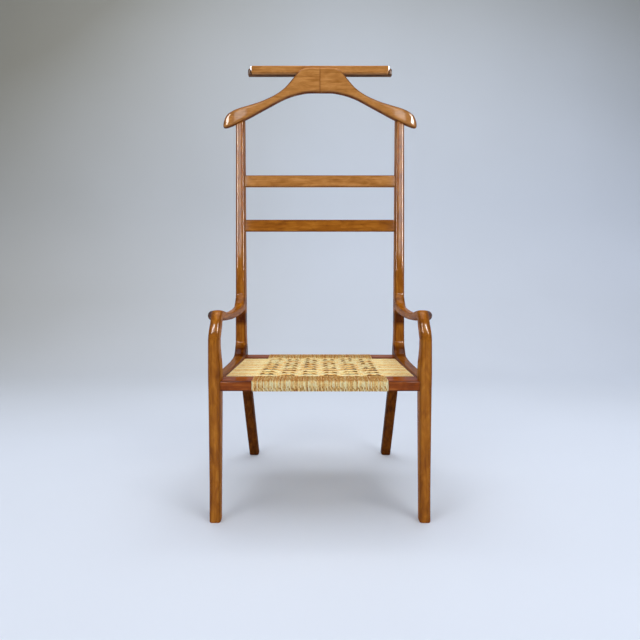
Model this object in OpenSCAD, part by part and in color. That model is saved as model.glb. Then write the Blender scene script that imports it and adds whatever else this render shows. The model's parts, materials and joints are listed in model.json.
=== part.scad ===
// Clothes valet chair: a low woven-cord seat in a sculpted wooden frame, whose tall back posts carry
// two cross slats, a coat hanger in two halves and a sprung trouser press.
// X runs to the sitter's left hand, Y from the front of the chair to its back, Z up from the floor.
// The right-hand side is modelled and the left is its mirror image.

/* [Whole chair] */
// Depth from the front legs' front plane to the rear feet's back edge
overall_d = 536; // [500:1:580]
// Height of the seat rails' top
seat_h = 365; // [340:1:400]
// Clear width between the two front legs
front_clear_w = 512; // [470:1:560]
// Clear width between the two back posts at the seat
rear_clear_w = 487; // [460:1:510]
// Depth from the front plane to the back posts' front face
post_depth = 391; // [370:1:410]

/* [Legs] */
// Width of a front leg at the seat
leg_w = 32.5; // [28:0.5:38]
// Depth of a front leg at the seat
leg_d = 42; // [38:1:48]
// Width of a front foot
foot_w = 28.5; // [20:0.5:30]
// Depth of a front foot
foot_d = 30; // [26:1:36]
// Rounding of the legs' long edges
leg_r = 7; // [4:0.5:9]
// Width of a rear leg
rear_leg_w = 31; // [27:1:36]
// Depth of a rear leg under the seat
rear_leg_d = 42; // [36:1:46]
// Depth of a rear foot
rear_foot_d = 35; // [28:1:40]
// Distance by which a rear foot stands in towards the middle from its leg's top
rear_leg_toe_in = 20; // [0:1:30]
// Distance from the back posts' inner face in to the rear legs' inner face, at the top
rear_leg_inset = 7.5; // [4:0.5:12]

/* [Arms] */
// Height of the arm's top at the front
arm_h = 543; // [530:0.5:550]
// Height of the arm's top above its joint with the front leg
nose_h = 72; // [60:1:80]
// Thickness of the arm
arm_t = 24; // [20:0.5:28]
// Widest part of the arm, just behind the leg
arm_w = 51; // [42:1:56]
// Dip of the arm's top between its front and the back post
arm_dip = 18; // [10:1:22]
// Height of the flare where the arm runs up into the back post
arm_flare = 28; // [15:1:40]

/* [Back posts] */
// Width of a back post at the seat
post_w = 35.5; // [30:0.5:40]
// Width of a back post at its top
post_top_w = 27.5; // [24:0.5:32]
// Width of the cove where a post's inner face runs down into the rear rail
post_cove = 2.6; // [1:0.1:5]
// Depth of a back post
post_d = 45; // [38:1:50]
// Backward lean of the posts, in degrees
post_lean = 3.2; // [1:0.1:6]
// Outward lean of each post, in degrees
post_spread = 0.86; // [0:0.02:1.5]
// Height of the posts' top, behind the hanger
post_top_h = 1184; // [1178:1:1190]
// Rounding of the posts' long edges
post_r = 6; // [3:0.5:9]

/* [Seat rails] */
// Height of the rails' section
rail_h = 27; // [24:1:32]
// Depth of the front rail, front to back
front_rail_d = 64; // [50:1:75]
// Depth of the rear rail, front to back
rear_rail_d = 64; // [50:1:72]
// Setback of the front rail behind the legs' front plane
front_rail_set = 2; // [1:0.5:5]
// Width of a side rail behind the front leg
side_rail_w = 31; // [26:1:34]
// Height of the side rail's flare up the back post
side_flare = 43; // [20:1:60]
// Rounding of the rails' long edges
rail_r = 5; // [2:0.5:8]

/* [Slats] */
// Height of the upper slat's middle
upper_slat_h = 952; // [900:1:1000]
// Height of the lower slat's middle
lower_slat_h = 800; // [720:1:850]
// Height of a slat's section
slat_h = 40; // [30:1:50]
// Thickness of a slat
slat_t = 15; // [12:0.5:20]
// Rounding of a slat's long edges
slat_r = 4; // [2:0.5:6]

/* [Hanger] */
// Half the hanger's span
hanger_half = 328; // [310:1:345]
// Thickness of the hanger
hanger_t = 25; // [22:0.5:30]
// Depth from the front plane to the hanger's front face
hanger_depth = 430; // [426:1:436]
// Height of the hanger's crown
crown_h = 1336; // [1325:1:1350]
// Height of the crown's section at the middle joint
crown_section = 84; // [76:1:90]
// Height of the shoulder tips' top
shoulder_h = 1201; // [1196:1:1206]
// Height of the section at the shoulder, over the back posts
shoulder_section = 50; // [42:1:54]
// Rounding of the hanger's edges
hanger_r = 8; // [5:0.5:11]

/* [Trouser press] */
// Length of the front jaw
front_jaw_l = 472; // [440:1:490]
// Length of the rear jaw
rear_jaw_l = 500; // [498:1:520]
// Height of a jaw
jaw_h = 26.5; // [24:0.5:32]
// Thickness of a jaw
jaw_t = 18.5; // [17:0.5:22]
// Height by which the front jaw rises above the hanger's crown
jaw_rise = 15.5; // [12:0.5:18]
// Height by which the rear jaw's top lies below the front jaw's
rear_jaw_drop = 0; // [0:0.5:4]
// Thickness of the felt lining on each jaw
lining_t = 1.5; // [1:0.1:2]
// Gap between the two linings when the press is shut
lining_gap = 0.3; // [0.2:0.1:0.6]
// Diameter of the steel pivot pins
pin_d = 4; // [3:0.5:5]
// Height of the pivot below the rear jaw's top, which is also its knuckle's radius
pivot_r = 8; // [7:0.5:9]
// Thickness of the steel hinge plates
plate_t = 2; // [1.5:0.1:2.5]

/* [Woven seat] */
// Diameter of the paper cord
cord_d = 3.3; // [2.8:0.1:3.6]
// Number of warp groups, which run front to back
warp_groups = 6; // [4:1:8]
// Number of strands in a warp group
warp_strands = 5; // [3:1:6]
// Distance between two warp groups
warp_pitch = 59; // [50:1:62]
// Number of weft bands, which run side to side
weft_bands = 17; // [13:1:21]
// Length of the cord winding on the front rail
front_wrap_l = 352; // [330:1:380]
// Length of the cord winding on the rear rail
rear_wrap_l = 336; // [320:1:360]

/* [Joinery] */
// Diameter of the rail and slat dowels
dowel_d = 8; // [6:0.5:10]
// Length of the rail and slat dowels
dowel_l = 34; // [28:1:38]
// Diameter of the arm dowels
arm_dowel_d = 10; // [8:0.5:12]
// Play between a dowel and its bore, on the radius
dowel_play = 0.05; // [0.03:0.01:0.1]
// Length of the dowels in the hanger's middle joint
hanger_dowel_l = 50; // [40:1:56]
// Diameter of the wood screws' shank
screw_d = 4; // [3:0.5:5]
// Length of the wood screws in the hanger
screw_l = 38; // [34:1:42]

/* [Hidden] */

oak = [0.69, 0.44, 0.22];
dark_oak = [0.34, 0.17, 0.05];
cord = [0.86, 0.74, 0.52];
steel = [0.72, 0.73, 0.75];
felt = [0.30, 0.16, 0.09];
dowel_wood = [0.80, 0.62, 0.40];

$fn = 48;
eps = 0.5;                      // overshoot of a cutting solid
corner_steps = 3;               // facets in each rounded corner of a swept section
x_dir = [1, 0, 0];
y_dir = [0, 1, 0];

inner_x = front_clear_w / 2;
post_in_x = rear_clear_w / 2;
rail_z = seat_h - rail_h;       // underside of all four seat rails
post_bend_z = seat_h + 10;      // the posts stand upright up to here and lean above it
seat_front = front_rail_set + front_rail_d;
post_back = post_depth + post_d;
rear_rail_back = post_back - 7;
seat_back = rear_rail_back - rear_rail_d;

// ---------- smooth rows and swept skins ----------

// Slope at a row between the step before it and the step after, small enough that a curve
// through the rows never swings past one
function slope(before, after) =
    before * after <= 0 ? 0 : sign(before) * min(abs(before + after) / 2, 3 * abs(before), 3 * abs(after));

// A cubic from p to q with the slopes m and n
function cubic(p, q, m, n, t) =
    p + m * t + (3 * (q - p) - 2 * m - n) * t * t + (2 * (p - q) + m + n) * t * t * t;

// Rows of sizes, with `steps` rows for each one given
function smooth(rows, steps) = let (last = len(rows) - 1) [
    for (i = [0 : last - 1])
        let (b = rows[i], c = rows[i + 1])
        let (a = i > 0 ? rows[i - 1] : 2 * b - c, d = i < last - 1 ? rows[i + 2] : 2 * c - b)
        for (k = [0 : steps - 1])
            [for (j = [0 : len(b) - 1])
                let (step = c[j] - b[j])
                cubic(b[j], c[j], slope(b[j] - a[j], step), slope(step, d[j] - c[j]), k / steps)],
    rows[last]
];

// A rounded rectangle about the point c, in the plane of the unit vectors u and v: its corners
// have the radius r, or far_r on the side that u points to
function ring(c, u, v, size_u, size_v, r, far_r) = [
    for (q = [0 : 3]) for (k = [0 : corner_steps])
        let (a = 90 * (q + k / corner_steps), far = q == 0 || q == 3)
        let (side_u = far ? 1 : -1, side_v = q < 2 ? 1 : -1, e = far ? far_r : r)
        c + u * (side_u * (size_u / 2 - e) + e * cos(a)) + v * (side_v * (size_v / 2 - e) + e * sin(a))
];

// A closed skin over rings that run counter-clockwise round the way they follow each other
module skin(rings) {
    n = len(rings[0]);
    last = (len(rings) - 1) * n;
    sides = [
        for (j = [0 : len(rings) - 2]) for (i = [0 : n - 1])
            let (a = j * n + i, b = j * n + (i + 1) % n)
            each [[a, b + n, b], [a, a + n, b + n]]
    ];
    ends = [[for (i = [0 : n - 1]) i], [for (i = [n - 1 : -1 : 0]) last + i]];
    polyhedron(points = [for (r = rings) each r], faces = concat(sides, ends));
}

// A member that stands up: rows are [z, inner x, outer x, front y, back y, corner radius]
function upright(rows) = [
    for (s = rows)
        ring([(s[1] + s[2]) / 2, (s[3] + s[4]) / 2, s[0]], x_dir, y_dir, s[2] - s[1], s[4] - s[3], s[5], s[5])
];

// A member that runs back: rows are [y, inner x, outer x, lower z, upper z, inner and outer radius]
function level(rows) = [
    for (s = rows)
        ring([(s[1] + s[2]) / 2, s[0], (s[3] + s[4]) / 2], x_dir, [0, 0, -1], s[2] - s[1], s[4] - s[3],
            s[5], s[6])
];

// Depths are counted from the front plane, and this puts the chair's middle over the origin
module placed() { translate([0, -overall_d / 2, 0]) children(); }

module mirrored() { mirror([1, 0, 0]) children(); }

module both_sides() { children(); mirrored() children(); }

// A dowel, or with play its bore, centred on a point and lying along "x", "y" or "z"
module dowel(at, along, d, l, play = 0) {
    turn = along == "x" ? [0, 90, 0] : along == "y" ? [90, 0, 0] : [0, 0, 0];
    translate(at) rotate(turn) cylinder(d = d + 2 * play, h = l + 4 * play, center = true);
}

// A bar along X with rounded long edges: its section is depth by height
module bar(length, y0, z0, depth, height, r) {
    translate([-length / 2, 0, 0]) rotate([90, 0, 90]) linear_extrude(length)
        rounded_rect(y0, z0, depth, height, r);
}

// A rectangle with arc corners, from its lowest corner
module rounded_rect(x0, y0, w, h, r) {
    union() {
        translate([x0 + r, y0]) square([w - 2 * r, h]);
        translate([x0, y0 + r]) square([w, h - 2 * r]);
        for (x = [x0 + r, x0 + w - r], y = [y0 + r, y0 + h - r]) translate([x, y]) circle(r = r, $fn = 32);
    }
}

// ---------- front legs ----------

waist = 4.5;                     // how far the inner face is hollowed between seat and arm
leg_top_w = 28.2;
leg_top_d = 36;
leg_top_h = arm_h - nose_h;
leg_top_in = inner_x + 4;
leg_out = inner_x + leg_w;
waist_z = leg_top_h - 21;

module front_leg_shape() {
    rows = [
        [0, inner_x, inner_x + foot_w, 1.5, 1.5 + foot_d, leg_r - 1],
        [seat_h * 0.22, inner_x, inner_x + foot_w, 1, 4 + foot_d, leg_r],
        [seat_h * 0.46, inner_x, inner_x + foot_w + 1, 0.5, leg_d - 4, leg_r],
        [seat_h * 0.70, inner_x, leg_out - 2.2, 0, leg_d - 1, leg_r],
        [rail_z - 10, inner_x, leg_out - 1, 0, leg_d, leg_r],
        [seat_h + 10, inner_x, leg_out - 0.2, 0, leg_d, leg_r],
        [(seat_h + waist_z) / 2, inner_x + 1, leg_out, 0, leg_d - 1, leg_r],
        [waist_z, inner_x + waist, leg_out, 0, leg_d - 3, leg_r],
        [leg_top_h, leg_top_in, leg_top_in + leg_top_w, 0, leg_top_d, leg_r]
    ];
    skin(upright(smooth(rows, 3)));
}

module front_leg_side() {
    color(oak) placed() difference() {
        front_leg_shape();
        arm_front_dowel(dowel_play);
        side_rail_front_dowels(dowel_play);
        front_rail_side_dowels(dowel_play);
    }
}

module front_leg_right() { front_leg_side(); }
module front_leg_left() { mirrored() front_leg_side(); }

// ---------- arms ----------

elbow_r = 12;                    // hollow under the arm where it leaves the leg
elbow_y = leg_top_d + elbow_r;
nose_fullness = 2.1;             // 2 is an ellipse, more is a squarer nose
nose_round = 15;                 // rounding of the nose's outer edge
nose_pinch = 3;                  // by which the nose is narrower than the leg and the arm
elbow_steps = 8;
arm_in = inner_x + 0.5;          // inner face where the nose runs into the arm
nose_end_w = arm_w - 18;         // and the width there
arm_low = arm_h - arm_t;
arm_end_h = (arm_low + arm_h) / 2;
edge_share = 0.47;               // most of a section's height that its outer rounding may take

// Distance from the elbow's centre to an oval about it, at an angle up from the front
function oval_reach(a, half_y, half_z) =
    pow(pow(cos(a) / half_y, nose_fullness) + pow(sin(a) / half_z, nose_fullness), -1 / nose_fullness);

// Sections that fan round the elbow, from the leg's top to the arm's start
function elbow_rings() = [
    for (k = [0 : elbow_steps - 1])
        let (t = k / elbow_steps, a = 90 * t, x = leg_top_in + (arm_in - leg_top_in) * t)
        let (under = oval_reach(a, elbow_r, nose_h - arm_t), reach = oval_reach(a, elbow_y, nose_h))
        let (mid = (under + reach) / 2, thick = reach - under)
        let (w = leg_top_w + (nose_end_w - leg_top_w) * t * t - nose_pinch * sin(180 * t))
        ring([x + w / 2, elbow_y - mid * cos(a), leg_top_h + mid * sin(a)], x_dir, [0, cos(a), -sin(a)],
            w, thick, leg_r + t, min(edge_share * thick, leg_r + (nose_round - leg_r) * sin(a)))
];

// Rows of the arm behind the elbow, without the outer rounding
function arm_rows() =
    let (x0 = arm_in, x1 = post_in(arm_end_h), x2 = post_out(arm_end_h), r = leg_r + 1)
    let (span = post_depth - elbow_y, mid_low = arm_low - arm_dip, mid_top = arm_h - arm_dip) [
        [elbow_y, x0, x0 + nose_end_w, arm_low, arm_h, r],
        [elbow_y + 0.14 * span, x0 - 0.5, x0 + arm_w, mid_low + 10, arm_h - 6, r + 1.5],
        [elbow_y + 0.30 * span, x0 - 1.5, x0 + arm_w - 12, mid_low + 6.5, mid_top + 3, r + 1],
        [elbow_y + 0.49 * span, x0 - 3.5, x0 + arm_w - 23, mid_low + 4, mid_top, r],
        [elbow_y + 0.68 * span, x0 - 5.5, x2 + 1, mid_low + 5, mid_top + 2, r - 0.5],
        [elbow_y + 0.84 * span, x1 + 1.2, x2 + 0.5, mid_low + 7.5, mid_top + 6, r - 1],
        [elbow_y + 0.95 * span, x1, x2, mid_low + 12, mid_top + 16, r - 1.5],
        [post_depth + 13, x1, x2, mid_low + 16, arm_h + arm_flare, r - 2]
    ];

// The same rows, with the outer edges rounded as far as the arm's height allows
function rounded_arm_rows() = [
    for (s = smooth(arm_rows(), 3)) concat(s, min(edge_share * (s[4] - s[3]), arm_t / 2))
];

module arm_side() {
    color(oak) placed() difference() {
        skin(concat(elbow_rings(), level(rounded_arm_rows())));
        back_post_shape();
        arm_front_dowel(dowel_play);
        arm_rear_dowel_pair(dowel_play);
    }
}

module arm_right() { arm_side(); }
module arm_left() { mirrored() arm_side(); }

// ---------- back posts ----------

function lean_y(z) = max(z - post_bend_z, 0) * tan(post_lean);

// Inner and outer face of a post at a height above its cove
function post_in(z) = post_in_x + post_cove + (z - post_bend_z) * tan(post_spread);
function post_out(z) =
    let (share = (z - post_bend_z) / (post_top_h - post_bend_z), foot_w = post_w - post_cove)
    post_in(z) + foot_w - (foot_w - post_top_w) * share;
function post_mid(z) = (post_in(z) + post_out(z)) / 2;

cove_h = 70;                     // height of the cove above the posts' bend
arm_joint_top = arm_h + arm_flare + 6;

module back_post_shape() {
    out_x = post_in_x + post_w;
    rows = [
        [rail_z, post_in_x, out_x, post_depth, post_back, post_r],
        [post_bend_z, post_in_x, out_x, post_depth, post_back, post_r],
        for (z = [post_bend_z + cove_h / 2, post_bend_z + cove_h, arm_joint_top, upper_slat_h, post_top_h])
            let (inset = z < post_bend_z + cove_h ? post_cove / 3 : 0)
            [z, post_in(z) - inset, post_out(z), post_depth + lean_y(z), post_back + lean_y(z), post_r]
    ];
    skin(upright(smooth(rows, 2)));
}

module back_post_side() {
    color(oak) placed() difference() {
        back_post_shape();
        hanger_shape();
        side_rail_rear_dowels(dowel_play);
        arm_rear_dowel_pair(dowel_play);
        rear_rail_side_dowels(dowel_play);
        slat_side_dowels(upper_slat_h, dowel_play);
        slat_side_dowels(lower_slat_h, dowel_play);
        rear_leg_dowel_pair(dowel_play);
        hanger_screw_pair(dowel_play);
    }
}

module back_post_right() { back_post_side(); }
module back_post_left() { mirrored() back_post_side(); }

// ---------- rear legs ----------

rear_leg_top_in = post_in_x - rear_leg_inset;
rear_leg_top_y = post_depth - 1;
rear_foot_y = overall_d - rear_foot_d;
rear_leg_bow = 3;                // forward bow of a rear leg at its middle

module rear_leg_shape() {
    rows = [
        for (t = [0, 0.25, 0.5, 0.75, 1])
            let (x = rear_leg_top_in - rear_leg_toe_in * (1 - t), bow = rear_leg_bow * sin(180 * t))
            let (front = rear_foot_y + (rear_leg_top_y - rear_foot_y) * t - bow)
            let (back = front + rear_foot_d + (rear_leg_d - rear_foot_d) * t)
            [rail_z * t, x, x + rear_leg_w, front, back, leg_r - 1]
    ];
    skin(upright(smooth(rows, 3)));
}

module rear_leg_side() {
    color(dark_oak) placed() difference() {
        rear_leg_shape();
        rear_leg_dowel_pair(dowel_play);
    }
}

module rear_leg_right() { rear_leg_side(); }
module rear_leg_left() { mirrored() rear_leg_side(); }

// ---------- seat rails ----------

side_rail_taper = (inner_x - post_in_x) / (seat_back - seat_front);

// Inner face of the side rail at a depth between the front and the rear rail
function side_in(y) = inner_x - side_rail_taper * (y - seat_front);

// Its outer face, which runs from behind the leg to the post's outer face
function side_out(y) =
    let (share = (y - seat_front) / (seat_back - seat_front), front_x = inner_x + side_rail_w)
    front_x + (post_in_x + post_w - front_x) * share;

rail_swell = 3;                  // rise of the side rail's top where its flare begins
flare_start = 0.28;              // share of the flare that is reached at the rear rail
rail_bite = 5;                   // how far the flare runs on into the post, to be cut to it

module side_rail_shape() {
    span = seat_back - seat_front;
    rows = [
        [leg_d, inner_x, side_out(seat_front), rail_z, seat_h, rail_r, rail_r],
        for (t = [0, 0.3, 0.6, 0.85]) let (y = seat_front + span * t)
            [y, side_in(y), side_out(y), rail_z, seat_h + (t > 0.8 ? rail_swell : 0), rail_r, rail_r],
        for (step = [[seat_back, side_flare * flare_start], [post_depth, side_flare],
            [post_depth + rail_bite, side_flare + rail_bite]])
            [step[0], post_in_x, post_in_x + post_w, rail_z, seat_h + step[1], rail_r, rail_r]
    ];
    skin(level(smooth(rows, 3)));
}

module side_rail_side() {
    color(oak) placed() difference() {
        side_rail_shape();
        back_post_shape();
        side_rail_front_dowels(dowel_play);
        side_rail_rear_dowels(dowel_play);
        nail_row(dowel_play);
    }
}

module side_rail_right() { side_rail_side(); }
module side_rail_left() { mirrored() side_rail_side(); }

wind_out = 1.5;                  // how far a winding stands proud of the wood
wrap_notch = cord_d - wind_out;

// What is cut away all round a rail's middle, to take its winding
module notch_round(y0, depth, wrap_l) {
    difference() {
        bar(wrap_l, y0 - eps, rail_z - eps, depth + 2 * eps, rail_h + 2 * eps, rail_r);
        bar(wrap_l + 2 * eps, y0 + wrap_notch, rail_z + wrap_notch, depth - 2 * wrap_notch,
            rail_h - 2 * wrap_notch, rail_r);
    }
}

module front_rail() {
    color(oak) placed() difference() {
        bar(front_clear_w, front_rail_set, rail_z, front_rail_d, rail_h, rail_r);
        notch_round(front_rail_set, front_rail_d, front_wrap_l);
        both_sides() front_rail_side_dowels(dowel_play);
    }
}

module rear_rail() {
    color(oak) placed() difference() {
        bar(rear_clear_w, seat_back, rail_z, rear_rail_d, rail_h, rail_r);
        notch_round(seat_back, rear_rail_d, rear_wrap_l);
        both_sides() rear_rail_side_dowels(dowel_play);
    }
}

// ---------- slats ----------

slat_set = (post_d - slat_t) / 2;

// A slat in the leaning plane of the posts, with its ends cut to their spread
module slat(mid_h) {
    half = post_in(mid_h);
    flare = tan(post_spread) * slat_h;
    y = post_depth + lean_y(mid_h) + slat_set;
    intersection() {
        translate([0, y + slat_t / 2, mid_h]) rotate([-post_lean, 0, 0])
            bar(2 * half + 10, -slat_t / 2, -slat_h / 2, slat_t, slat_h, slat_r);
        translate([0, y + slat_t * 2, mid_h]) rotate([90, 0, 0]) linear_extrude(slat_t * 3) polygon([
            [-half + flare, -slat_h], [half - flare, -slat_h], [half + flare, slat_h], [-half - flare, slat_h]
        ]);
    }
}

module drilled_slat(mid_h) {
    color(oak) placed() difference() {
        slat(mid_h);
        both_sides() slat_side_dowels(mid_h, dowel_play);
    }
}

module upper_slat() { drilled_slat(upper_slat_h); }
module lower_slat() { drilled_slat(lower_slat_h); }

// ---------- hanger ----------

hanger_back = hanger_depth + hanger_t;
crown_bottom = crown_h - crown_section;
neck_section = 30;               // height of the section where the hanger is slimmest
shoulder_bottom = shoulder_h - shoulder_section;

// Rows are [x, fall of the upper edge, height of the section, thickness], where the fall is a share
// of the whole fall from crown to shoulder; the last rows close the rounded tip
function hanger_rows() = let (post_x = post_mid(shoulder_h), tip = hanger_half - post_x) [
    [0, 0, crown_section, hanger_t],
    [post_x * 0.132, 0, crown_section, hanger_t],
    [post_x * 0.25, 0.067, crown_section * 0.95, hanger_t],
    [post_x * 0.338, 0.274, crown_section * 0.69, hanger_t],
    [post_x * 0.438, 0.504, crown_section * 0.44, hanger_t],
    [post_x * 0.563, 0.685, neck_section, hanger_t],
    [post_x * 0.735, 0.844, shoulder_section * 0.68, hanger_t],
    [post_x * 0.897, 0.948, shoulder_section * 0.88, hanger_t],
    [post_x + tip * 0.143, 1.03, shoulder_section, hanger_t],
    [post_x + tip * 0.607, 1.126, shoulder_section * 0.96, hanger_t * 0.96],
    [post_x + tip * 0.839, 1.222, shoulder_section * 0.78, hanger_t * 0.84],
    [post_x + tip * 0.955, 1.34, shoulder_section * 0.45, hanger_t * 0.64],
    [hanger_half, 1.43, shoulder_section * 0.12, hanger_t * 0.32]
];

module hanger_shape() {
    skin([
        for (s = smooth(hanger_rows(), 3))
            let (z = crown_h - (crown_h - shoulder_h) * s[1] - s[2] / 2)
            let (r = min(hanger_r, 0.42 * s[2], 0.42 * s[3]))
            ring([s[0], hanger_depth + hanger_t / 2, z], y_dir, [0, 0, 1], s[3], s[2], r, r)
    ]);
}

module hanger_side() {
    color(oak) placed() difference() {
        hanger_shape();
        hanger_joint_pair(dowel_play);
        hanger_screw_pair(dowel_play);
        block_screw_pair(dowel_play);
    }
}

module hanger_right() { hanger_side(); }
module hanger_left() { mirrored() hanger_side(); }

// ---------- block behind the hanger that carries the press ----------

block_w = 96;
jaw_top = crown_h + jaw_rise;
jaw_bottom = jaw_top - jaw_h;
block_bottom = crown_bottom + 10;

module centre_block() {
    color(oak) placed() difference() {
        translate([0, hanger_back, 0]) rotate([-90, 0, 0]) linear_extrude(jaw_t)
            rounded_rect(-block_w / 2, -jaw_bottom, block_w, jaw_bottom - block_bottom, 6);
        jaw_dowel_pair(dowel_play);
        both_sides() block_screw_pair(dowel_play);
    }
}

// ---------- trouser press ----------

jaw_r = 5;
front_face = hanger_back + jaw_t;                        // clamping face of the front jaw
rear_face = front_face + 2 * lining_t + lining_gap;      // clamping face of the rear jaw
rear_top = jaw_top - rear_jaw_drop;
rear_jaw_h = jaw_h - rear_jaw_drop + 1;
pivot_y = rear_face + pivot_r;
pivot_z = rear_top - pivot_r;
lobe_r = pivot_r - 2;                                    // round end of a hinge plate
swing = 0.35;                                            // room round what turns in the rear jaw
opening = 25;                                            // angle by which the press opens
spring_w = 14;
pocket_drop = 12;                                        // depth of a spring's pocket below the pivot
pocket_reach = 7;                                        // and behind it
spring_mid_x = front_jaw_l / 2 - 24;
lining_l = 2 * (spring_mid_x - spring_w);

jaw_plan_r = 4;                                          // corners of a jaw seen from above
front_end_r = 7;                                         // end corners of the front jaw seen from the front
rear_end_top_r = 12;                                     // and those of the rear jaw
rear_end_low_r = 5;

// What bounds a jaw seen from above and from the front, where its end corners are rounded
module jaw_outline(length, y0, low, high, top_r, low_r) {
    intersection() {
        translate([0, 0, low - eps]) linear_extrude(high - low + 2 * eps)
            rounded_rect(-length / 2, y0, length, jaw_t, jaw_plan_r);
        translate([0, y0 + jaw_t + eps, 0]) rotate([90, 0, 0]) linear_extrude(jaw_t + 2 * eps) union() {
            translate([-length / 2, low + low_r]) square([length, high - low - top_r - low_r]);
            translate([top_r - length / 2, low + low_r]) square([length - 2 * top_r, high - low - low_r]);
            translate([low_r - length / 2, low]) square([length - 2 * low_r, high - low - top_r]);
            for (side = [-1, 1]) {
                translate([side * (length / 2 - top_r), high - top_r]) circle(r = top_r);
                translate([side * (length / 2 - low_r), low + low_r]) circle(r = low_r);
            }
        }
    }
}

module press_front_jaw() {
    color(oak) placed() difference() {
        intersection() {
            bar(front_jaw_l, hanger_back, jaw_bottom, jaw_t, jaw_h, jaw_r);
            jaw_outline(front_jaw_l, hanger_back, jaw_bottom, jaw_top, front_end_r, front_end_r);
        }
        jaw_dowel_pair(dowel_play);
        both_sides() plate_screw_pair(dowel_play);
    }
}

// The rear jaw's section: its upper front corner is the knuckle that turns round the pivot
module rear_jaw_section() {
    back = rear_face + jaw_t;
    low = rear_top - rear_jaw_h;
    union() {
        translate([rear_face, low + jaw_r]) square([jaw_t, pivot_z - low - jaw_r]);
        translate([rear_face + jaw_r, low]) square([jaw_t - 2 * jaw_r, jaw_r + 1]);
        for (y = [rear_face + jaw_r, back - jaw_r]) translate([y, low + jaw_r]) circle(r = jaw_r, $fn = 32);
        translate([pivot_y, pivot_z]) circle(r = pivot_r);
        translate([pivot_y, pivot_z - 1]) square([back - jaw_r - pivot_y, pivot_r + 1]);
        translate([back - jaw_r, rear_top - jaw_r]) circle(r = jaw_r, $fn = 32);
        translate([pivot_y, pivot_z - 1]) square([back - pivot_y, pivot_r + 1 - jaw_r]);
    }
}

module press_rear_jaw() {
    color(oak) placed() difference() {
        intersection() {
            translate([-rear_jaw_l / 2, 0, 0]) rotate([90, 0, 90]) linear_extrude(rear_jaw_l)
                rear_jaw_section();
            jaw_outline(rear_jaw_l, rear_face, rear_top - rear_jaw_h, rear_top, rear_end_top_r,
                rear_end_low_r);
        }
        both_sides() {
            pin_shape(dowel_play);
            plate_slot();
            spring_pocket();
        }
    }
}

// Slot in the rear jaw that a hinge plate's round end turns in
module plate_slot() {
    x = front_jaw_l / 2 - swing;
    w = plate_t + 2 * swing;
    translate([x, rear_face - eps, pivot_z - lobe_r - swing])
        cube([w, pivot_r + lobe_r * sin(opening) + eps, pivot_r + lobe_r + swing + eps]);
    translate([x, pivot_y, pivot_z]) rotate([0, 90, 0]) cylinder(r = lobe_r + swing, h = w);
}

// Pocket in the rear jaw that holds a torsion spring
module spring_pocket() {
    translate([spring_mid_x - spring_w / 2, rear_face - eps, pivot_z - pocket_drop])
        cube([spring_w, pivot_r + pocket_reach + eps, pocket_drop + pivot_r + eps]);
}

pin_inner_x = spring_mid_x - spring_w / 2 - 5;
pin_outer_x = rear_jaw_l / 2 - 2.5;

module pin_shape(play = 0) {
    l = pin_outer_x - pin_inner_x;
    translate([pin_inner_x - 2 * play, pivot_y, pivot_z]) rotate([0, 90, 0])
        cylinder(d = pin_d + 2 * play, h = play == 0 ? l : l + 2);
}

module press_pivot_pins() { color(steel) placed() both_sides() pin_shape(); }

plate_back = hanger_back + 4;
plate_low = pivot_z - lobe_r;

// A hinge plate lies on the front jaw's end and reaches back round the pivot pin
module hinge_plate_outline() {
    translate([pivot_y, pivot_z]) circle(r = lobe_r);
    translate([plate_back, plate_low]) square([pivot_y - plate_back, 2 * lobe_r]);
}

module press_hinge_plates() {
    color(steel) placed() both_sides() difference() {
        translate([front_jaw_l / 2, 0, 0]) rotate([90, 0, 90]) linear_extrude(plate_t) hinge_plate_outline();
        translate([front_jaw_l / 2 - 1, pivot_y, pivot_z]) rotate([0, 90, 0])
            cylinder(d = pin_d + 0.04, h = plate_t + 2);
        plate_screw_pair(dowel_play);
    }
}

plate_screw_y = [plate_back + 2.8, front_face - 4.2];

// Two small screws that hold a hinge plate to the front jaw's end
module plate_screw_pair(play = 0) {
    for (y = plate_screw_y) {
        translate([front_jaw_l / 2 - 12, y, pivot_z]) rotate([0, 90, 0])
            cylinder(d = 2 + 2 * play, h = 12 + plate_t);
        if (play == 0)
            translate([front_jaw_l / 2 + plate_t, y, pivot_z]) rotate([0, 90, 0]) cylinder(d = 3.6, h = 1);
    }
}

module press_plate_screws() { color(steel) placed() both_sides() plate_screw_pair(); }

module lining(y0) {
    translate([-lining_l / 2, y0, jaw_bottom + 3]) cube([lining_l, lining_t, 11]);
}

module press_front_lining() { color(felt) placed() lining(front_face); }
module press_rear_lining() { color(felt) placed() lining(rear_face - lining_t); }

wire_d = 1.2;
coil_turns = 5;
coil_r = pin_d / 2 + wire_d / 2 + 0.4;
coil_step = wire_d + 0.5;
wire_sides = 6;
wire_steps = 12;                 // sections in each turn of the coil

// One section of the spring's wire, round the point p and square to the direction dir
function wire_ring(p, dir) =
    let (u = dir / norm(dir), a = cross(u, x_dir), v = a / norm(a), w = cross(u, v)) [
        for (k = [0 : wire_sides - 1]) let (turn = 360 * k / wire_sides)
            p + (v * cos(turn) + w * sin(turn)) * wire_d / 2
    ];

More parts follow.
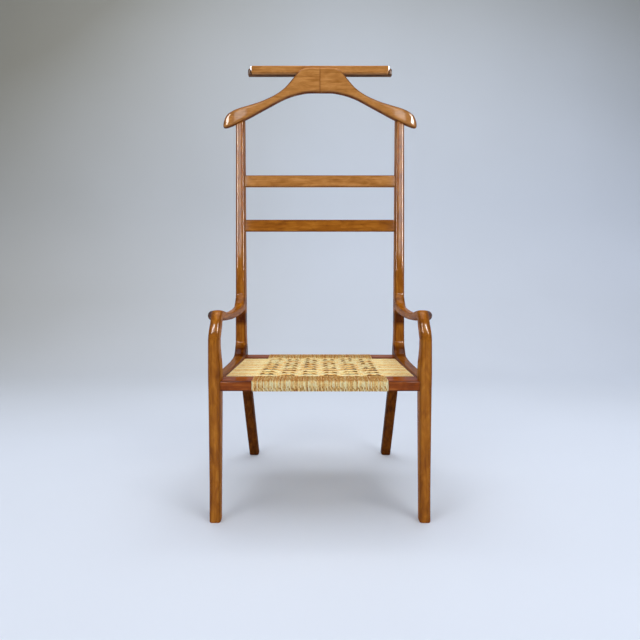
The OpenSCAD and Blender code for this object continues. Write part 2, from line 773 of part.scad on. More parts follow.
// A torsion spring: one leg bears on the front jaw, the coil sits on the pin, the other leg
// bears on the pocket's back wall
module spring() {
    x0 = spring_mid_x - coil_turns * coil_step / 2;
    total = coil_turns * wire_steps - 3;
    front_leg = [x0, front_face + 0.1, pivot_z + coil_r];
    coil_rings = [
        for (k = [0 : total])
            let (a = 90 - 360 * k / wire_steps, x = x0 + coil_step * k / wire_steps)
            wire_ring([x, pivot_y + coil_r * cos(a), pivot_z + coil_r * sin(a)],
                [coil_step / 40, sin(a), -cos(a)])
    ];
    end_x = x0 + coil_step * total / wire_steps;
    rear_leg = [end_x, pivot_y + coil_r, pivot_z - 0.7 * pocket_drop];
    skin(concat(
        [wire_ring(front_leg, [0, 1, 0])],
        coil_rings,
        [wire_ring(rear_leg, [0, 0, -1])]
    ));
}

module press_springs() { color(steel) placed() both_sides() spring(); }

// ---------- woven seat ----------

weave_front = seat_front + wind_out;
weave_back = seat_back - wind_out;
weave_z = seat_h - cord_d - 1.7;
half_group = warp_strands * cord_d / 2;
// The weft's wave clears the warp at a group's edges
weft_lift = (cord_d + 0.1) / cos(180 * half_group / warp_pitch);
wave_half = warp_groups * warp_pitch / 2;
wave_steps = 6;                  // straight stretches in each half wave
rail_gap = 0.3;                  // between a weft end and the side rail
band_gap = 0.1;                  // between two weft bands

module winding(y0, depth, wrap_l) {
    difference() {
        bar(wrap_l, y0 - wind_out, rail_z - wind_out, depth + 2 * wind_out, rail_h + 2 * wind_out,
            rail_r + wind_out);
        bar(wrap_l + 2 * eps, y0 + wrap_notch, rail_z + wrap_notch, depth - 2 * wrap_notch,
            rail_h - 2 * wrap_notch, rail_r);
    }
}

module front_rail_winding() { color(cord) placed() winding(front_rail_set, front_rail_d, front_wrap_l); }
module rear_rail_winding() { color(cord) placed() winding(seat_back, rear_rail_d, rear_wrap_l); }

// Groups of straight strands that lie side by side, from winding to winding
module seat_warp() {
    color(cord) placed() for (g = [0 : warp_groups - 1]) {
        mid = (g - (warp_groups - 1) / 2) * warp_pitch;
        union() for (s = [0 : warp_strands - 1]) {
            x = mid + (s - (warp_strands - 1) / 2) * (cord_d - 0.1);
            translate([x, weave_front, weave_z]) rotate([-90, 0, 0])
                cylinder(d = cord_d, h = weave_back - weave_front, $fn = 24);
        }
    }
}

// Height of the weft's middle line over x: it rises over one group and dips under the next
function weft_z(x, side) =
    abs(x) >= wave_half ? weave_z : weave_z + side * weft_lift * sin(180 * (x + wave_half) / warp_pitch);

module weft_band(y0, depth, side) {
    reach = inner_x + 5;
    waves = [for (k = [0 : warp_groups * wave_steps]) -wave_half + k * warp_pitch / wave_steps];
    xs = concat([-reach], waves, [reach]);
    top = [for (x = xs) [x, weft_z(x, side) + cord_d / 2]];
    low = [for (i = [len(xs) - 1 : -1 : 0]) [xs[i], weft_z(xs[i], side) - cord_d / 2]];
    translate([0, y0 + depth, 0]) rotate([90, 0, 0]) linear_extrude(depth) polygon(concat(top, low));
}

module seat_weft() {
    depth = (weave_back - weave_front) / weft_bands;
    front_x = side_in(weave_front) - rail_gap;
    back_x = side_in(weave_back) - rail_gap;
    color(cord) placed() for (b = [0 : weft_bands - 1]) intersection() {
        weft_band(weave_front + b * depth + band_gap / 2, depth - band_gap, b % 2 == 0 ? 1 : -1);
        translate([0, 0, rail_z]) linear_extrude(rail_h + cord_d) polygon([
            [-front_x, weave_front], [front_x, weave_front], [back_x, weave_back], [-back_x, weave_back]
        ]);
    }
}

nail_d = 2;
nail_in = 14;                    // depth of a nail in the side rail
nail_out = 6;                    // its hooked end under the weave
nail_z = weave_z - cord_d / 2 - nail_d / 2 - 0.2;
nail_count = 9;

// Hooked nails in the side rail's inner face, which hold the weft
module nail_row(play = 0) {
    step = (weave_back - weave_front) / nail_count;
    for (k = [0 : nail_count - 1]) {
        y = weave_front + (k + 0.5) * step;
        translate([side_in(y) - nail_out, y, nail_z]) rotate([0, 90, 0])
            cylinder(d = nail_d + 2 * play, h = nail_out + nail_in + 2 * play, $fn = 24);
        if (play == 0) translate([side_in(y) - nail_out, y, nail_z - 5])
            cylinder(d = nail_d, h = 5, $fn = 24);
    }
}

module cord_nails() { color(steel) placed() both_sides() nail_row(); }

// ---------- dowels and screws ----------

dowel_edge = 8.5;                // from a dowel's middle to the edges of a side rail
rear_dowel_rise = 5;             // height of the side rails' rear dowels above the seat rails
joint_dowel_in = 24;             // from the hanger's joint dowels to its upper and lower edge
jaw_dowel_x = 30;
screw_edge = 10.5;               // from a hanger screw to the edge of the joint
block_screw_low = 12;            // from the lower block screw to the block's lower edge
block_screw_high = 19;           // and from the upper one to the jaw
head_sunk = 1;                   // depth of a screw's head in the wood

module arm_front_dowel(play = 0) {
    dowel([leg_top_in + leg_top_w / 2, leg_top_d / 2, leg_top_h], "z", arm_dowel_d, dowel_l, play);
}

module arm_rear_dowel_pair(play = 0) {
    for (z = [arm_low + 3, arm_low + 3 + 0.7 * arm_t])
        dowel([post_mid(z), post_depth + lean_y(z), z], "y", arm_dowel_d - 1, dowel_l, play);
}

module side_rail_front_dowels(play = 0) {
    for (x = [inner_x + dowel_edge, inner_x + side_rail_w - dowel_edge])
        dowel([x, leg_d, rail_z + dowel_edge], "y", dowel_d - 1, dowel_l + 6, play);
}

module side_rail_rear_dowels(play = 0) {
    for (share = [0.25, 0.75])
        dowel([post_in_x + post_w * share, post_depth, seat_h + rear_dowel_rise], "y", dowel_d - 1,
            dowel_l, play);
}

module front_rail_side_dowels(play = 0) {
    for (share = [0.17, 0.46])
        dowel([inner_x, front_rail_set + front_rail_d * share, seat_h - rail_h * 0.32], "x", dowel_d - 1,
            dowel_l, play);
}

module rear_rail_side_dowels(play = 0) {
    for (share = [0.27, 0.62])
        dowel([post_in_x, post_depth + post_d * share, rail_z + rail_h / 2], "x", dowel_d - 1, dowel_l, play);
}

leg_dowel_d = 6;
leg_dowel_l = 16;

module rear_leg_dowel_pair(play = 0) {
    for (share = [0.27, 0.68])
        dowel([post_in_x + post_w * 0.35, post_depth + post_d * share, rail_z], "z", leg_dowel_d, leg_dowel_l,
            play);
}

module slat_side_dowels(mid_h, play = 0) {
    y = post_depth + lean_y(mid_h) + post_d / 2;
    for (s = [-1, 1])
        dowel([post_in(mid_h), y + s * slat_h / 4 * tan(post_lean), mid_h + s * slat_h / 4], "x",
            dowel_d - 1, dowel_l - 2, play);
}

module hanger_joint_pair(play = 0) {
    for (z = [crown_bottom + joint_dowel_in, crown_h - joint_dowel_in])
        dowel([0, hanger_depth + hanger_t / 2, z], "x", dowel_d, hanger_dowel_l, play);
}

module jaw_dowel_pair(play = 0) {
    for (x = [-jaw_dowel_x, jaw_dowel_x])
        dowel([x, hanger_back + jaw_t / 2, jaw_bottom], "z", dowel_d, dowel_l, play);
}

screw_head_h = 3;
screw_sink = 4;                  // how far the hole for a screw's head reaches out of the wood

// A wood screw along Y whose flat head lies in the back face at the depth y
module wood_screw(x, y, z, l, play = 0) {
    sink = play == 0 ? 0 : screw_sink;
    translate([x, y, z]) rotate([90, 0, 0]) {
        cylinder(d = screw_d + 2 * play, h = l + play);
        translate([0, 0, -sink]) cylinder(d = 2 * screw_d + 2 * play, h = screw_head_h + sink + play);
    }
}

module hanger_screw_pair(play = 0) {
    for (z = [shoulder_bottom + screw_edge, post_top_h - screw_edge])
        wood_screw(post_mid(z), post_back + lean_y(z) - head_sunk, z, screw_l, play);
}

module block_screw_pair(play = 0) {
    x = hanger_dowel_l / 2 + 9;
    for (z = [block_bottom + block_screw_low, jaw_bottom - block_screw_high])
        wood_screw(x, hanger_back + jaw_t - head_sunk, z, screw_l - 4, play);
}

module arm_front_dowels() { color(dowel_wood) placed() both_sides() arm_front_dowel(); }
module arm_rear_dowels() { color(dowel_wood) placed() both_sides() arm_rear_dowel_pair(); }
module side_rail_dowels() {
    color(dowel_wood) placed() both_sides() {
        side_rail_front_dowels();
        side_rail_rear_dowels();
    }
}
module front_rail_dowels() { color(dowel_wood) placed() both_sides() front_rail_side_dowels(); }
module rear_rail_dowels() { color(dowel_wood) placed() both_sides() rear_rail_side_dowels(); }
module rear_leg_dowels() { color(dowel_wood) placed() both_sides() rear_leg_dowel_pair(); }
module slat_dowels() {
    color(dowel_wood) placed() both_sides() {
        slat_side_dowels(upper_slat_h);
        slat_side_dowels(lower_slat_h);
    }
}
module hanger_joint_dowels() { color(dowel_wood) placed() hanger_joint_pair(); }
module jaw_dowels() { color(dowel_wood) placed() jaw_dowel_pair(); }
module block_screws() { color(steel) placed() both_sides() block_screw_pair(); }
module hanger_screws() { color(steel) placed() both_sides() hanger_screw_pair(); }

// ---------- drawing ----------

front_leg_left();
front_leg_right();
arm_left();
arm_right();
back_post_left();
back_post_right();
rear_leg_left();
rear_leg_right();
side_rail_left();
side_rail_right();
front_rail();
rear_rail();
upper_slat();
lower_slat();
hanger_left();
hanger_right();
centre_block();
press_front_jaw();
press_rear_jaw();
press_front_lining();
press_rear_lining();
press_hinge_plates();
press_plate_screws();
press_pivot_pins();
press_springs();
front_rail_winding();
rear_rail_winding();
seat_warp();
seat_weft();
cord_nails();
arm_front_dowels();
arm_rear_dowels();
side_rail_dowels();
front_rail_dowels();
rear_rail_dowels();
rear_leg_dowels();
slat_dowels();
hanger_joint_dowels();
jaw_dowels();
block_screws();
hanger_screws();
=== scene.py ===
# %% [markdown]
# # A clothes valet chair
#
# This lesson dresses a clothes valet chair: a low seat woven from paper cord, in a varnished wooden
# frame whose tall back carries two slats, a coat hanger and a trouser press. The construction comes
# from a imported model, which is loaded as a fixed frame. What follows gives each part its final
# surface and finish, and never moves or resizes anything.

# %% Load the frame
import json
import math

import bmesh
import bpy
import numpy as np
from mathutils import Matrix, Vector

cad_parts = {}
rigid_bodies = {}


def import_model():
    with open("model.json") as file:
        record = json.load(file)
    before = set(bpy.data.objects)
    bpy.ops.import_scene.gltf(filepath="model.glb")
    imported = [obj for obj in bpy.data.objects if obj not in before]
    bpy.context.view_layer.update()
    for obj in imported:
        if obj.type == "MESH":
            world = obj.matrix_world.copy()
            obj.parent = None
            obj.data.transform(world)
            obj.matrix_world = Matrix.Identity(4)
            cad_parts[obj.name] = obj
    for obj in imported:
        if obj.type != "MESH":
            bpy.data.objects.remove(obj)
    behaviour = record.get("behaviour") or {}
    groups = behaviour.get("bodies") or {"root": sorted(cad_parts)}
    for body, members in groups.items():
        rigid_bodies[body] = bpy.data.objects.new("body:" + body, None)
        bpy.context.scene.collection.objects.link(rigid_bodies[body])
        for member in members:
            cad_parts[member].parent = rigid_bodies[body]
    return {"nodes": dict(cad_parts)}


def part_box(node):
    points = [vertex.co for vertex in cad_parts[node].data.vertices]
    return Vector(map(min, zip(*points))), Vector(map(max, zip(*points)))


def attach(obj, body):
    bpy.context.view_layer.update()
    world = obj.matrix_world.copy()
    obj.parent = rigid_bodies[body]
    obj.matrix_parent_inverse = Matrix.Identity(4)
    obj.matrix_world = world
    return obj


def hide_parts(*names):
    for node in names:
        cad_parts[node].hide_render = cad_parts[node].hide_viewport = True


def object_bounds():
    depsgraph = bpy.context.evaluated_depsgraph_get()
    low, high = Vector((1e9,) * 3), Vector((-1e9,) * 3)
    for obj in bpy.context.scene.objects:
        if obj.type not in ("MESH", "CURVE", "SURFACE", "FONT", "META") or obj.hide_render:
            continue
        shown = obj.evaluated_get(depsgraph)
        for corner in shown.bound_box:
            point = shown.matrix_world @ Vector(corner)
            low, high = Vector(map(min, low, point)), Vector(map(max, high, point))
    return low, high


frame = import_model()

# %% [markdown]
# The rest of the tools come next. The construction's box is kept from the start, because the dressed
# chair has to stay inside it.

cad_bounds = [list(corner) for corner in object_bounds()]
scene = bpy.context.scene
print("construction from", cad_bounds[0], "to", cad_bounds[1])

# %% [markdown]
# ## Camera
#
# The picture was taken from the front with a level camera a little above the seat. A level camera
# keeps upright edges parallel, and the lens shift moves the view down without tilting it. The
# camera's height and distance follow from where the feet, the seat and the hanger meet the frame.

# %% Camera
CAMERA_HEIGHT = 0.650  # metres above the floor
CAMERA_TO_FRONT_LEGS = 1.354  # metres
FOCAL_PIXELS = 528
IMAGE_PIXELS = 640
HORIZON_ROW = 270
SENSOR_MM = 36
NEAREST_SEEN = 0.05

camera_data = bpy.data.cameras.new("camera")
camera_data.sensor_width = SENSOR_MM
camera_data.lens = FOCAL_PIXELS / IMAGE_PIXELS * SENSOR_MM
camera_data.shift_y = (HORIZON_ROW - IMAGE_PIXELS / 2) / IMAGE_PIXELS
camera_data.clip_start = NEAREST_SEEN
camera = bpy.data.objects.new("camera", camera_data)
camera.location = (0.0, cad_bounds[0][1] - CAMERA_TO_FRONT_LEGS, CAMERA_HEIGHT)
camera.rotation_euler = (math.pi / 2, 0, 0)
scene.collection.objects.link(camera)
scene.camera = camera
print(f"camera: {camera_data.lens:.1f} mm lens at y = {camera.location.y:.3f} m")

# %% [markdown]
# ## Writing node trees
#
# Materials and Geometry Nodes are both trees of nodes. This small helper adds a node, sets or links
# its inputs by name or number, and hands back its first output, so that a tree reads as a list of
# short steps.

# %% A helper for node trees
class Tree:
    def __init__(self, tree):
        self.tree = tree

    def add(self, kind, inputs=None, **settings):
        node = self.tree.nodes.new(kind)
        for name, value in settings.items():
            setattr(node, name, value)
        for key, value in (inputs or {}).items():
            self.put(node, key, value)
        return node

    def put(self, node, key, value):
        socket = node.inputs[key]
        if isinstance(value, bpy.types.NodeSocket):
            self.tree.links.new(value, socket)
        elif isinstance(value, bpy.types.Node):
            self.tree.links.new(value.outputs[0], socket)
        else:
            socket.default_value = value

    def math(self, operation, a, b=0.0, c=0.0):
        return self.add("ShaderNodeMath", {0: a, 1: b, 2: c}, operation=operation).outputs[0]

    def times(self, a, b):
        return self.math("MULTIPLY", a, b)

    def plus(self, a, b):
        return self.math("ADD", a, b)

    def minus(self, a, b):
        return self.math("SUBTRACT", a, b)

    def vector(self, x=0.0, y=0.0, z=0.0):
        return self.add("ShaderNodeCombineXYZ", {0: x, 1: y, 2: z}).outputs[0]

    def parts(self, vector):
        """The x, y and z of a vector."""
        return self.add("ShaderNodeSeparateXYZ", {0: vector}).outputs

    def place(self):
        """Where a point of the surface lies, in its object's own coordinates."""
        return self.add("ShaderNodeTexCoord").outputs["Object"]

    def noise(self, scale, detail, place=None):
        """Even noise; in a geometry tree it needs no place, since points have one."""
        where = {} if place is None else {"Vector": place}
        return self.add("ShaderNodeTexNoise", {**where, "Scale": scale, "Detail": detail}).outputs["Fac"]

    def graded(self, value, start, end, first, last):
        """Goes from first to last while the value goes from start to end."""
        return self.add("ShaderNodeMapRange", {0: value, 1: start, 2: end, 3: first, 4: last})

    def mix(self, factor, first, second, blend="MIX"):
        """first where the factor is 0 and second where it is 1; sockets 6 and 7 hold colours."""
        return self.add("ShaderNodeMix", {0: factor, 6: first, 7: second}, data_type="RGBA",
                        blend_type=blend).outputs[2]

    def ramp(self, factor, stops):
        node = self.add("ShaderNodeValToRGB", {0: factor})
        while len(node.color_ramp.elements) < len(stops):
            node.color_ramp.elements.new(0.5)
        for element, (place, colour) in zip(node.color_ramp.elements, stops):
            element.position = place
            element.color = (*colour, 1)
        return node.outputs[0]


def linear(red, green, blue):
    """A colour as a painter picks it, 0 to 255, in the numbers that a shader works with."""
    def one(value):
        value /= 255
        return value / 12.92 if value <= 0.04045 else ((value + 0.055) / 1.055) ** 2.4
    return one(red), one(green), one(blue)


def new_material(name):
    """A material with an empty tree but for its shader and output."""
    material = bpy.data.materials.new(name)
    material.use_nodes = True
    tree = Tree(material.node_tree)
    shader = material.node_tree.nodes["Principled BSDF"]
    return material, tree, shader


# %% [markdown]
# ## Varnished wood
#
# The frame is a golden-brown hardwood under a hard clear varnish. Its colour comes from four scales of noise:
# a cloudy mottle that is only a little longer along the grain, a drawn-out figure, fine streaks, and short
# dark pores. The carved pieces mark a painted shade in hollows, in bends and along edges, together with the
# side rail's darker tone, in an attribute. The varnish is the shader's coat: it is almost sharp, so the lamps
# draw clean bright lines on every bend. The wood below it has no shine of its own, because light that has
# entered the varnish meets no second step on its way into the wood. Each piece also says which way its grain
# runs, in an attribute or by the axis that it is sawn along. The straight parts that never turn get a painted
# shade on their own rounded edges, found by which way they face.

# %% Wood
MOTTLE_SIZE = 0.016  # metres across the grain
FIGURE_SIZE = 0.009
STREAK_SIZE = 0.0024
PORE_SIZE = 0.0009
GLUE_LINE = 0.0007  # half the width of a glued joint's dark line
MOTTLE_SHARE = 0.42
FIGURE_SHARE = 0.38
STREAK_SHARE = 0.20
PORE_STAIN = 0.30
# share of the carved pieces' painted shade and the side rail's darker tone
STAIN_AND_SHADE_SHARE = 0.92
EDGE_SHADE = 3.2  # of 4, how much painted shade a straight part gets half-way round its edge
STAIN_AND_SHADE_TONE = (0.40, 0.26, 0.30)  # of a wood's dark tone, red, green and blue, which pores, painted shade and the glue line darken to
VARNISH = 0.27  # weight of the clear coat
THIN_VARNISH = 0.12


def grain_coordinates(tree, along):
    """Coordinates whose third number runs along the grain."""
    if along == "attribute":
        return tree.add("ShaderNodeAttribute", attribute_name="grain").outputs["Vector"]
    split = tree.parts(tree.place())
    order = {"x": (1, 2, 0), "z": (0, 1, 2)}[along]
    return tree.vector(*(split[i] for i in order))


def wood(name, light, middle, dark, along="attribute", coat=VARNISH, glued=False, painted_edge_shade=False):
    material, tree, shader = new_material(name)
    place = grain_coordinates(tree, along)

    def noise(size, stretch, detail, distortion=0.0):
        """Noise of a size across the grain, whose marks are 1 / stretch times longer along it."""
        scale = tree.add("ShaderNodeMapping", {"Vector": place, "Scale": (1, 1, stretch)})
        return tree.add("ShaderNodeTexNoise", {
            "Vector": scale, "Scale": 1 / size, "Detail": detail, "Roughness": 0.55,
            "Distortion": distortion}).outputs["Fac"]

    mottle = noise(MOTTLE_SIZE, 0.38, 2, 0.7)
    figure = noise(FIGURE_SIZE, 0.09, 3, 0.5)
    streaks = noise(STREAK_SIZE, 0.03, 3)
    pores = noise(PORE_SIZE, 0.045, 2)
    body = tree.math("MULTIPLY_ADD", mottle, MOTTLE_SHARE, tree.times(figure, FIGURE_SHARE))
    body = tree.math("MULTIPLY_ADD", streaks, STREAK_SHARE, body)
    colour = tree.ramp(body, [(0.34, dark), (0.50, middle), (0.66, light)])
    pore_mask = tree.ramp(pores, [(0.60, (0, 0, 0)), (0.72, (1, 1, 1))])
    # A point attribute of the carved pieces: painted shade in hollows, in bends and on rounded edges, and the
    # side rail's darker tone.
    stain_and_shade_mask = tree.add("ShaderNodeAttribute", attribute_name="stain_and_shade").outputs["Fac"]
    stain_and_shade_mask = tree.times(stain_and_shade_mask, tree.math("MULTIPLY_ADD", mottle, 1.6, 0.15))
    deep = (*(tone * left for tone, left in zip(dark, STAIN_AND_SHADE_TONE)), 1)
    for mask, share in ((pore_mask, PORE_STAIN), (stain_and_shade_mask, STAIN_AND_SHADE_SHARE)):
        colour = tree.mix(tree.times(mask, share), colour, deep)
    # Painted shade on the rounded long edges, found from which way the surface faces.
    if painted_edge_shade:
        _, facing_y, facing_z = tree.parts(tree.add("ShaderNodeNewGeometry").outputs["Normal"])
        both = tree.times(facing_y, facing_z)
        rounded = tree.times(tree.times(both, both), EDGE_SHADE)
        colour = tree.mix(rounded, colour, deep)
    if glued:
        x, _, _ = tree.parts(tree.place())
        away = tree.math("DIVIDE", tree.math("ABSOLUTE", x), 2 * GLUE_LINE)
        colour = tree.mix(tree.ramp(away, [(0.45, (0.8, 0.8, 0.8)), (0.75, (0, 0, 0))]), colour, deep)
    tree.put(shader, "Base Color", colour)
    shader.inputs["Roughness"].default_value = 0.5
    shader.inputs["Specular IOR Level"].default_value = 0.0
    shader.inputs["Coat Weight"].default_value = coat
    shader.inputs["Coat Roughness"].default_value = 0.06
    height = tree.minus(streaks, tree.times(pore_mask, 0.6))
    bump = tree.add("ShaderNodeBump", {"Height": height, "Strength": 0.12, "Distance": 0.0003})
    tree.put(shader, "Normal", bump)
    return material


HONEY = linear(190, 122, 38), linear(158, 92, 20), linear(118, 62, 8)
GOLD = linear(204, 144, 80), linear(182, 122, 60), linear(150, 94, 38)
RUSSET = linear(168, 92, 35), linear(139, 66, 16), linear(104, 45, 7)
UMBER = linear(128, 70, 14), linear(96, 48, 6), linear(62, 28, 3)
# The rear jaw's tones are painted darker as shade.
SHADED_JAW = linear(126, 90, 62), linear(102, 70, 46), linear(72, 46, 28)
carved_wood = wood("varnished wood, carved", *HONEY)
hanger_wood = wood("varnished wood, glued at the middle", *GOLD, glued=True)
cross_wood = wood("varnished wood, sawn along x", *GOLD, along="x")
upper_wood = wood("varnished wood with dark edges", *GOLD, along="x", painted_edge_shade=True)
lower_wood = wood("deeper varnished wood, sawn along x", *HONEY, along="x", painted_edge_shade=True)
rail_wood = wood("russet varnished wood", *RUSSET, along="x", painted_edge_shade=True)
shaded_jaw_wood = wood("varnished wood with painted shade", *SHADED_JAW, along="x")
leg_wood = wood("dark varnished wood", *UMBER, along="z", coat=THIN_VARNISH)
bare_wood = wood("bare dowel wood", linear(214, 176, 120), linear(200, 158, 102), linear(170, 126, 76),
                 along="x", coat=0.0)
print("wood:", [material.name for material in bpy.data.materials])

# %% [markdown]
# ## Carved members
#
# A front leg, its arm, the back post and the side rail flow into one another: the maker glues them
# up and then shapes them by hand until no edge marks the joints. The construction holds them as
# separate faceted solids that meet face to face. Here each side is carved again as one skin. Copies
# of the four solids are grown by a hair so that they overlap, the dowel holes are plugged, a voxel
# remesh makes one closed surface, and sanding takes off its steps. Plain smoothing would also thin
# every leg, so each later pass draws a point towards its neighbours and then pushes it back a little
# further: facets go and sizes stay.

# %% Copies of the construction's solids
HAIR = 0.0004  # how far a copy is grown, which the rasp takes off again
RASPING = 5
SANDING = 30
SIDES = (1, "right"), (-1, "left")


def solid(node, side=0, keep=None):
    """A merged, slightly grown copy of a node's mesh; side keeps what lies at +x or -x."""
    shape = bmesh.new()
    shape.from_mesh(frame["nodes"][node].data)
    bmesh.ops.remove_doubles(shape, verts=shape.verts, dist=1e-6)
    if side:
        away = [vertex for vertex in shape.verts if vertex.co.x * side < 0]
        bmesh.ops.delete(shape, geom=away, context="VERTS")
    if keep:
        for vertex in shape.verts:
            vertex.co = keep(vertex.co)
    shape.normal_update()
    moved = [vertex.co + vertex.normal * HAIR for vertex in shape.verts]
    for vertex, place in zip(shape.verts, moved):
        vertex.co = place
    return shape


def joined(shapes):
    """One mesh that holds all the shapes."""
    whole = bmesh.new()
    for shape in shapes:
        part = bpy.data.meshes.new("part")
        shape.to_mesh(part)
        shape.free()
        whole.from_mesh(part)
        bpy.data.meshes.remove(part)
    mesh = bpy.data.meshes.new("joined")
    whole.to_mesh(mesh)
    whole.free()
    return mesh


def coordinates(mesh):
    """A mesh's points as rows of a table."""
    points = np.zeros(len(mesh.vertices) * 3, np.float32)
    mesh.vertices.foreach_get("co", points)
    return points.reshape(-1, 3).astype(float)


def neighbour_mean(mesh):
    """A function that gives, for values at the points, the mean over each point's neighbours."""
    ends = np.zeros(len(mesh.edges) * 2, np.int32)
    mesh.edges.foreach_get("vertices", ends)
    a, b = ends.reshape(-1, 2).T
    count = len(mesh.vertices)
    degree = np.maximum(np.bincount(a, minlength=count) + np.bincount(b, minlength=count), 1)

    def mean(values):
        columns = [(np.bincount(a, column[b], count) + np.bincount(b, column[a], count)) / degree
                   for column in values.T]
        return np.column_stack(columns)

    return mean


def sand(mesh, passes):
    """Takes off the steps of the remesh and keeps the thickness."""
    points = coordinates(mesh)
    mean = neighbour_mean(mesh)
    for _ in range(passes):
        for step in (0.50, -0.52):
            points += step * (mean(points) - points)
    mesh.vertices.foreach_set("co", points.astype(np.float32).ravel())
    mesh.update()


def evaluated(work):
    """The plain mesh that an object's modifiers make; the object itself goes."""
    bpy.context.view_layer.update()
    mesh = bpy.data.meshes.new_from_object(work.evaluated_get(bpy.context.evaluated_depsgraph_get()))
    bpy.data.objects.remove(work)
    return mesh


def carve(shapes, voxel):
    """One smooth closed skin round all the shapes."""
    work = bpy.data.objects.new("block", joined(shapes))
    scene.collection.objects.link(work)
    remesh = work.modifiers.new("remesh", "REMESH")
    remesh.mode = "VOXEL"
    remesh.voxel_size = voxel
    rasp = work.modifiers.new("rasp", "SMOOTH")
    rasp.factor = 0.5
    rasp.iterations = RASPING
    mesh = evaluated(work)
    sand(mesh, SANDING)
    mesh.shade_smooth()
    return mesh


def piece(name, mesh, material, nodes, body="frame"):
    """A finished piece of the chair, which stands for the named nodes."""
    made = bpy.data.objects.new(name, mesh)
    scene.collection.objects.link(made)
    mesh.materials.clear()
    mesh.materials.append(material)
    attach(made, body)
    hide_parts(*nodes)
    mesh.calc_loop_triangles()
    print(f"{name}: {len(mesh.loop_triangles)} triangles")


# %% [markdown]
# The grain follows the plank that each member was sawn from: upright in the leg and the post, front
# to back in the arm and the side rail. It is stored at every point of the skin as a vector whose
# third number runs along the grain, so the material turns where one member meets the next, as the
# wood does at a glued joint.

# %% Grain of a side frame
POST_DEPTH = 0.045  # front to back
POST_PLAY = 0.001
ABOVE_SEAT = 0.45  # a height between the seat and the arms
POST_SHIFT, LEG_SHIFT, ARM_SHIFT = 1.7, 3.1, 5.3  # so that no two members share their figure

leg_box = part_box("front_leg_right")
post_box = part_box("back_post_right")
arm_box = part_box("arm_right")
rail_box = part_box("side_rail_right")
seat_rail_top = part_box("front_rail")[1].z
# Roughly how far a post's front moves back per metre above the side rail, near enough for its grain
lean = (post_box[1].y - post_box[0].y - POST_DEPTH) / (post_box[1].z - rail_box[1].z)
print(f"leg's back at y = {leg_box[1].y:.3f} m, post's front at y = {post_box[0].y:.3f} m at its foot")


def grain_of_side(points):
    x, y, z = points.T
    post_front = post_box[0].y + np.maximum(z - rail_box[1].z, 0) * lean
    in_post = y > post_front - POST_PLAY
    in_leg = (y < leg_box[1].y) & (z < leg_box[1].z)
    upright = in_post | in_leg
    across = np.where(upright, y, z)
    along = np.where(upright, z, y)
    in_arm = ~upright & (z > ABOVE_SEAT)
    member = in_post * POST_SHIFT + in_leg * LEG_SHIFT + in_arm * ARM_SHIFT
    return np.column_stack([x + member, across - member, along])


def store_grain(mesh, grain):
    values = grain(coordinates(mesh)).astype(np.float32)
    attribute = mesh.attributes.new("grain", "FLOAT_VECTOR", "POINT")
    attribute.data.foreach_set("vector", values.ravel())


# %% [markdown]
# Hollows get a painted shade. A point lies in a hollow where its neighbours' middle stands out of the surface
# above it, so that distance, blurred over a finger's width, says how dark the point gets. Painted shade also
# darkens the bends: under and over the arm's root on the post, where the side rail flares into it, and on the
# elbow's outside. The post is a little darker all over. The side rail is darker all over, like the other seat
# rails. Rounded edges get a painted shade too.

# %% Painted shade, and the side rail's tone
HOLLOW_BLUR = 60
HOLLOW_FULL = 0.000012  # metres by which a full hollow's neighbours stand out
ROOT_UP, ROOT_REACH = 0.019, 0.026  # the turn at the arm's root, above the arm's underside
OVER_ROOT_UP, OVER_ROOT_REACH = 0.070, 0.022  # the turn over it
OVER_ROOT_SHADE = 0.45
FLARE_UP, FLARE_REACH = 0.018, 0.026  # the side rail's flare, above the seat rails
POST_DARKER = 0.10
RAIL_STAIN = 0.42
ROUNDED_SHADE = 0.45


def normals(mesh):
    values = np.zeros(len(mesh.vertices) * 3, np.float32)
    mesh.vertex_normals.foreach_get("vector", values)
    return values.reshape(-1, 3).astype(float)


def hollows(mesh):
    """How far each point lies in a hollow, from 0 to 1."""
    points, mean = coordinates(mesh), neighbour_mean(mesh)
    depth = np.sum((mean(points) - points) * normals(mesh), axis=1)[:, None]
    for _ in range(HOLLOW_BLUR):
        depth = mean(depth)
    return np.clip(depth[:, 0] / HOLLOW_FULL, 0, 1)


def rising(values, start, width):
    """0 up to a start, and 1 from a width beyond it."""
    return np.clip((values - start) / width, 0, 1)


def near(values, centre, reach):
    """1 close to a centre and 0 further than a reach from it, with soft sides."""
    return np.clip(1.6 * (1 - np.abs(values - centre) / reach), 0, 1)


def bends(mesh):
    """How much painted shade a point of a side frame gets at the bends and on rounded edges, with the side
    rail's darker tone, from 0 to 1.
    """
    points = coordinates(mesh)
    x, y, z = np.abs(points[:, 0]), points[:, 1], points[:, 2]
    on_post = rising(y, post_box[0].y - 0.012, 0.010)
    on_flare = rising(y, post_box[0].y - 0.060, 0.020)
    root = (near(z, arm_box[0].z + ROOT_UP, ROOT_REACH)
            + OVER_ROOT_SHADE * near(z, arm_box[0].z + OVER_ROOT_UP, OVER_ROOT_REACH))
    flare = near(z, seat_rail_top + FLARE_UP, FLARE_REACH)
    elbow = rising(x, leg_box[1].x - 0.006, 0.010) * rising(z, arm_box[0].z + 0.026, 0.010)
    near_leg = 1 - rising(y, leg_box[0].y + 0.080, 0.080)
    low_down = 1 - rising(z, seat_rail_top + 0.025, 0.020)
    on_rail = low_down * rising(y, leg_box[1].y, 0.006) * (1 - rising(y, post_box[0].y, 0.012))
    facing = normals(mesh)[:, 0] ** 2
    rounded = 4 * facing * (1 - facing)
    places = on_post * (root + POST_DARKER) + on_flare * flare + elbow * near_leg
    return np.clip(np.maximum(places, RAIL_STAIN * on_rail) + ROUNDED_SHADE * rounded, 0, 1)


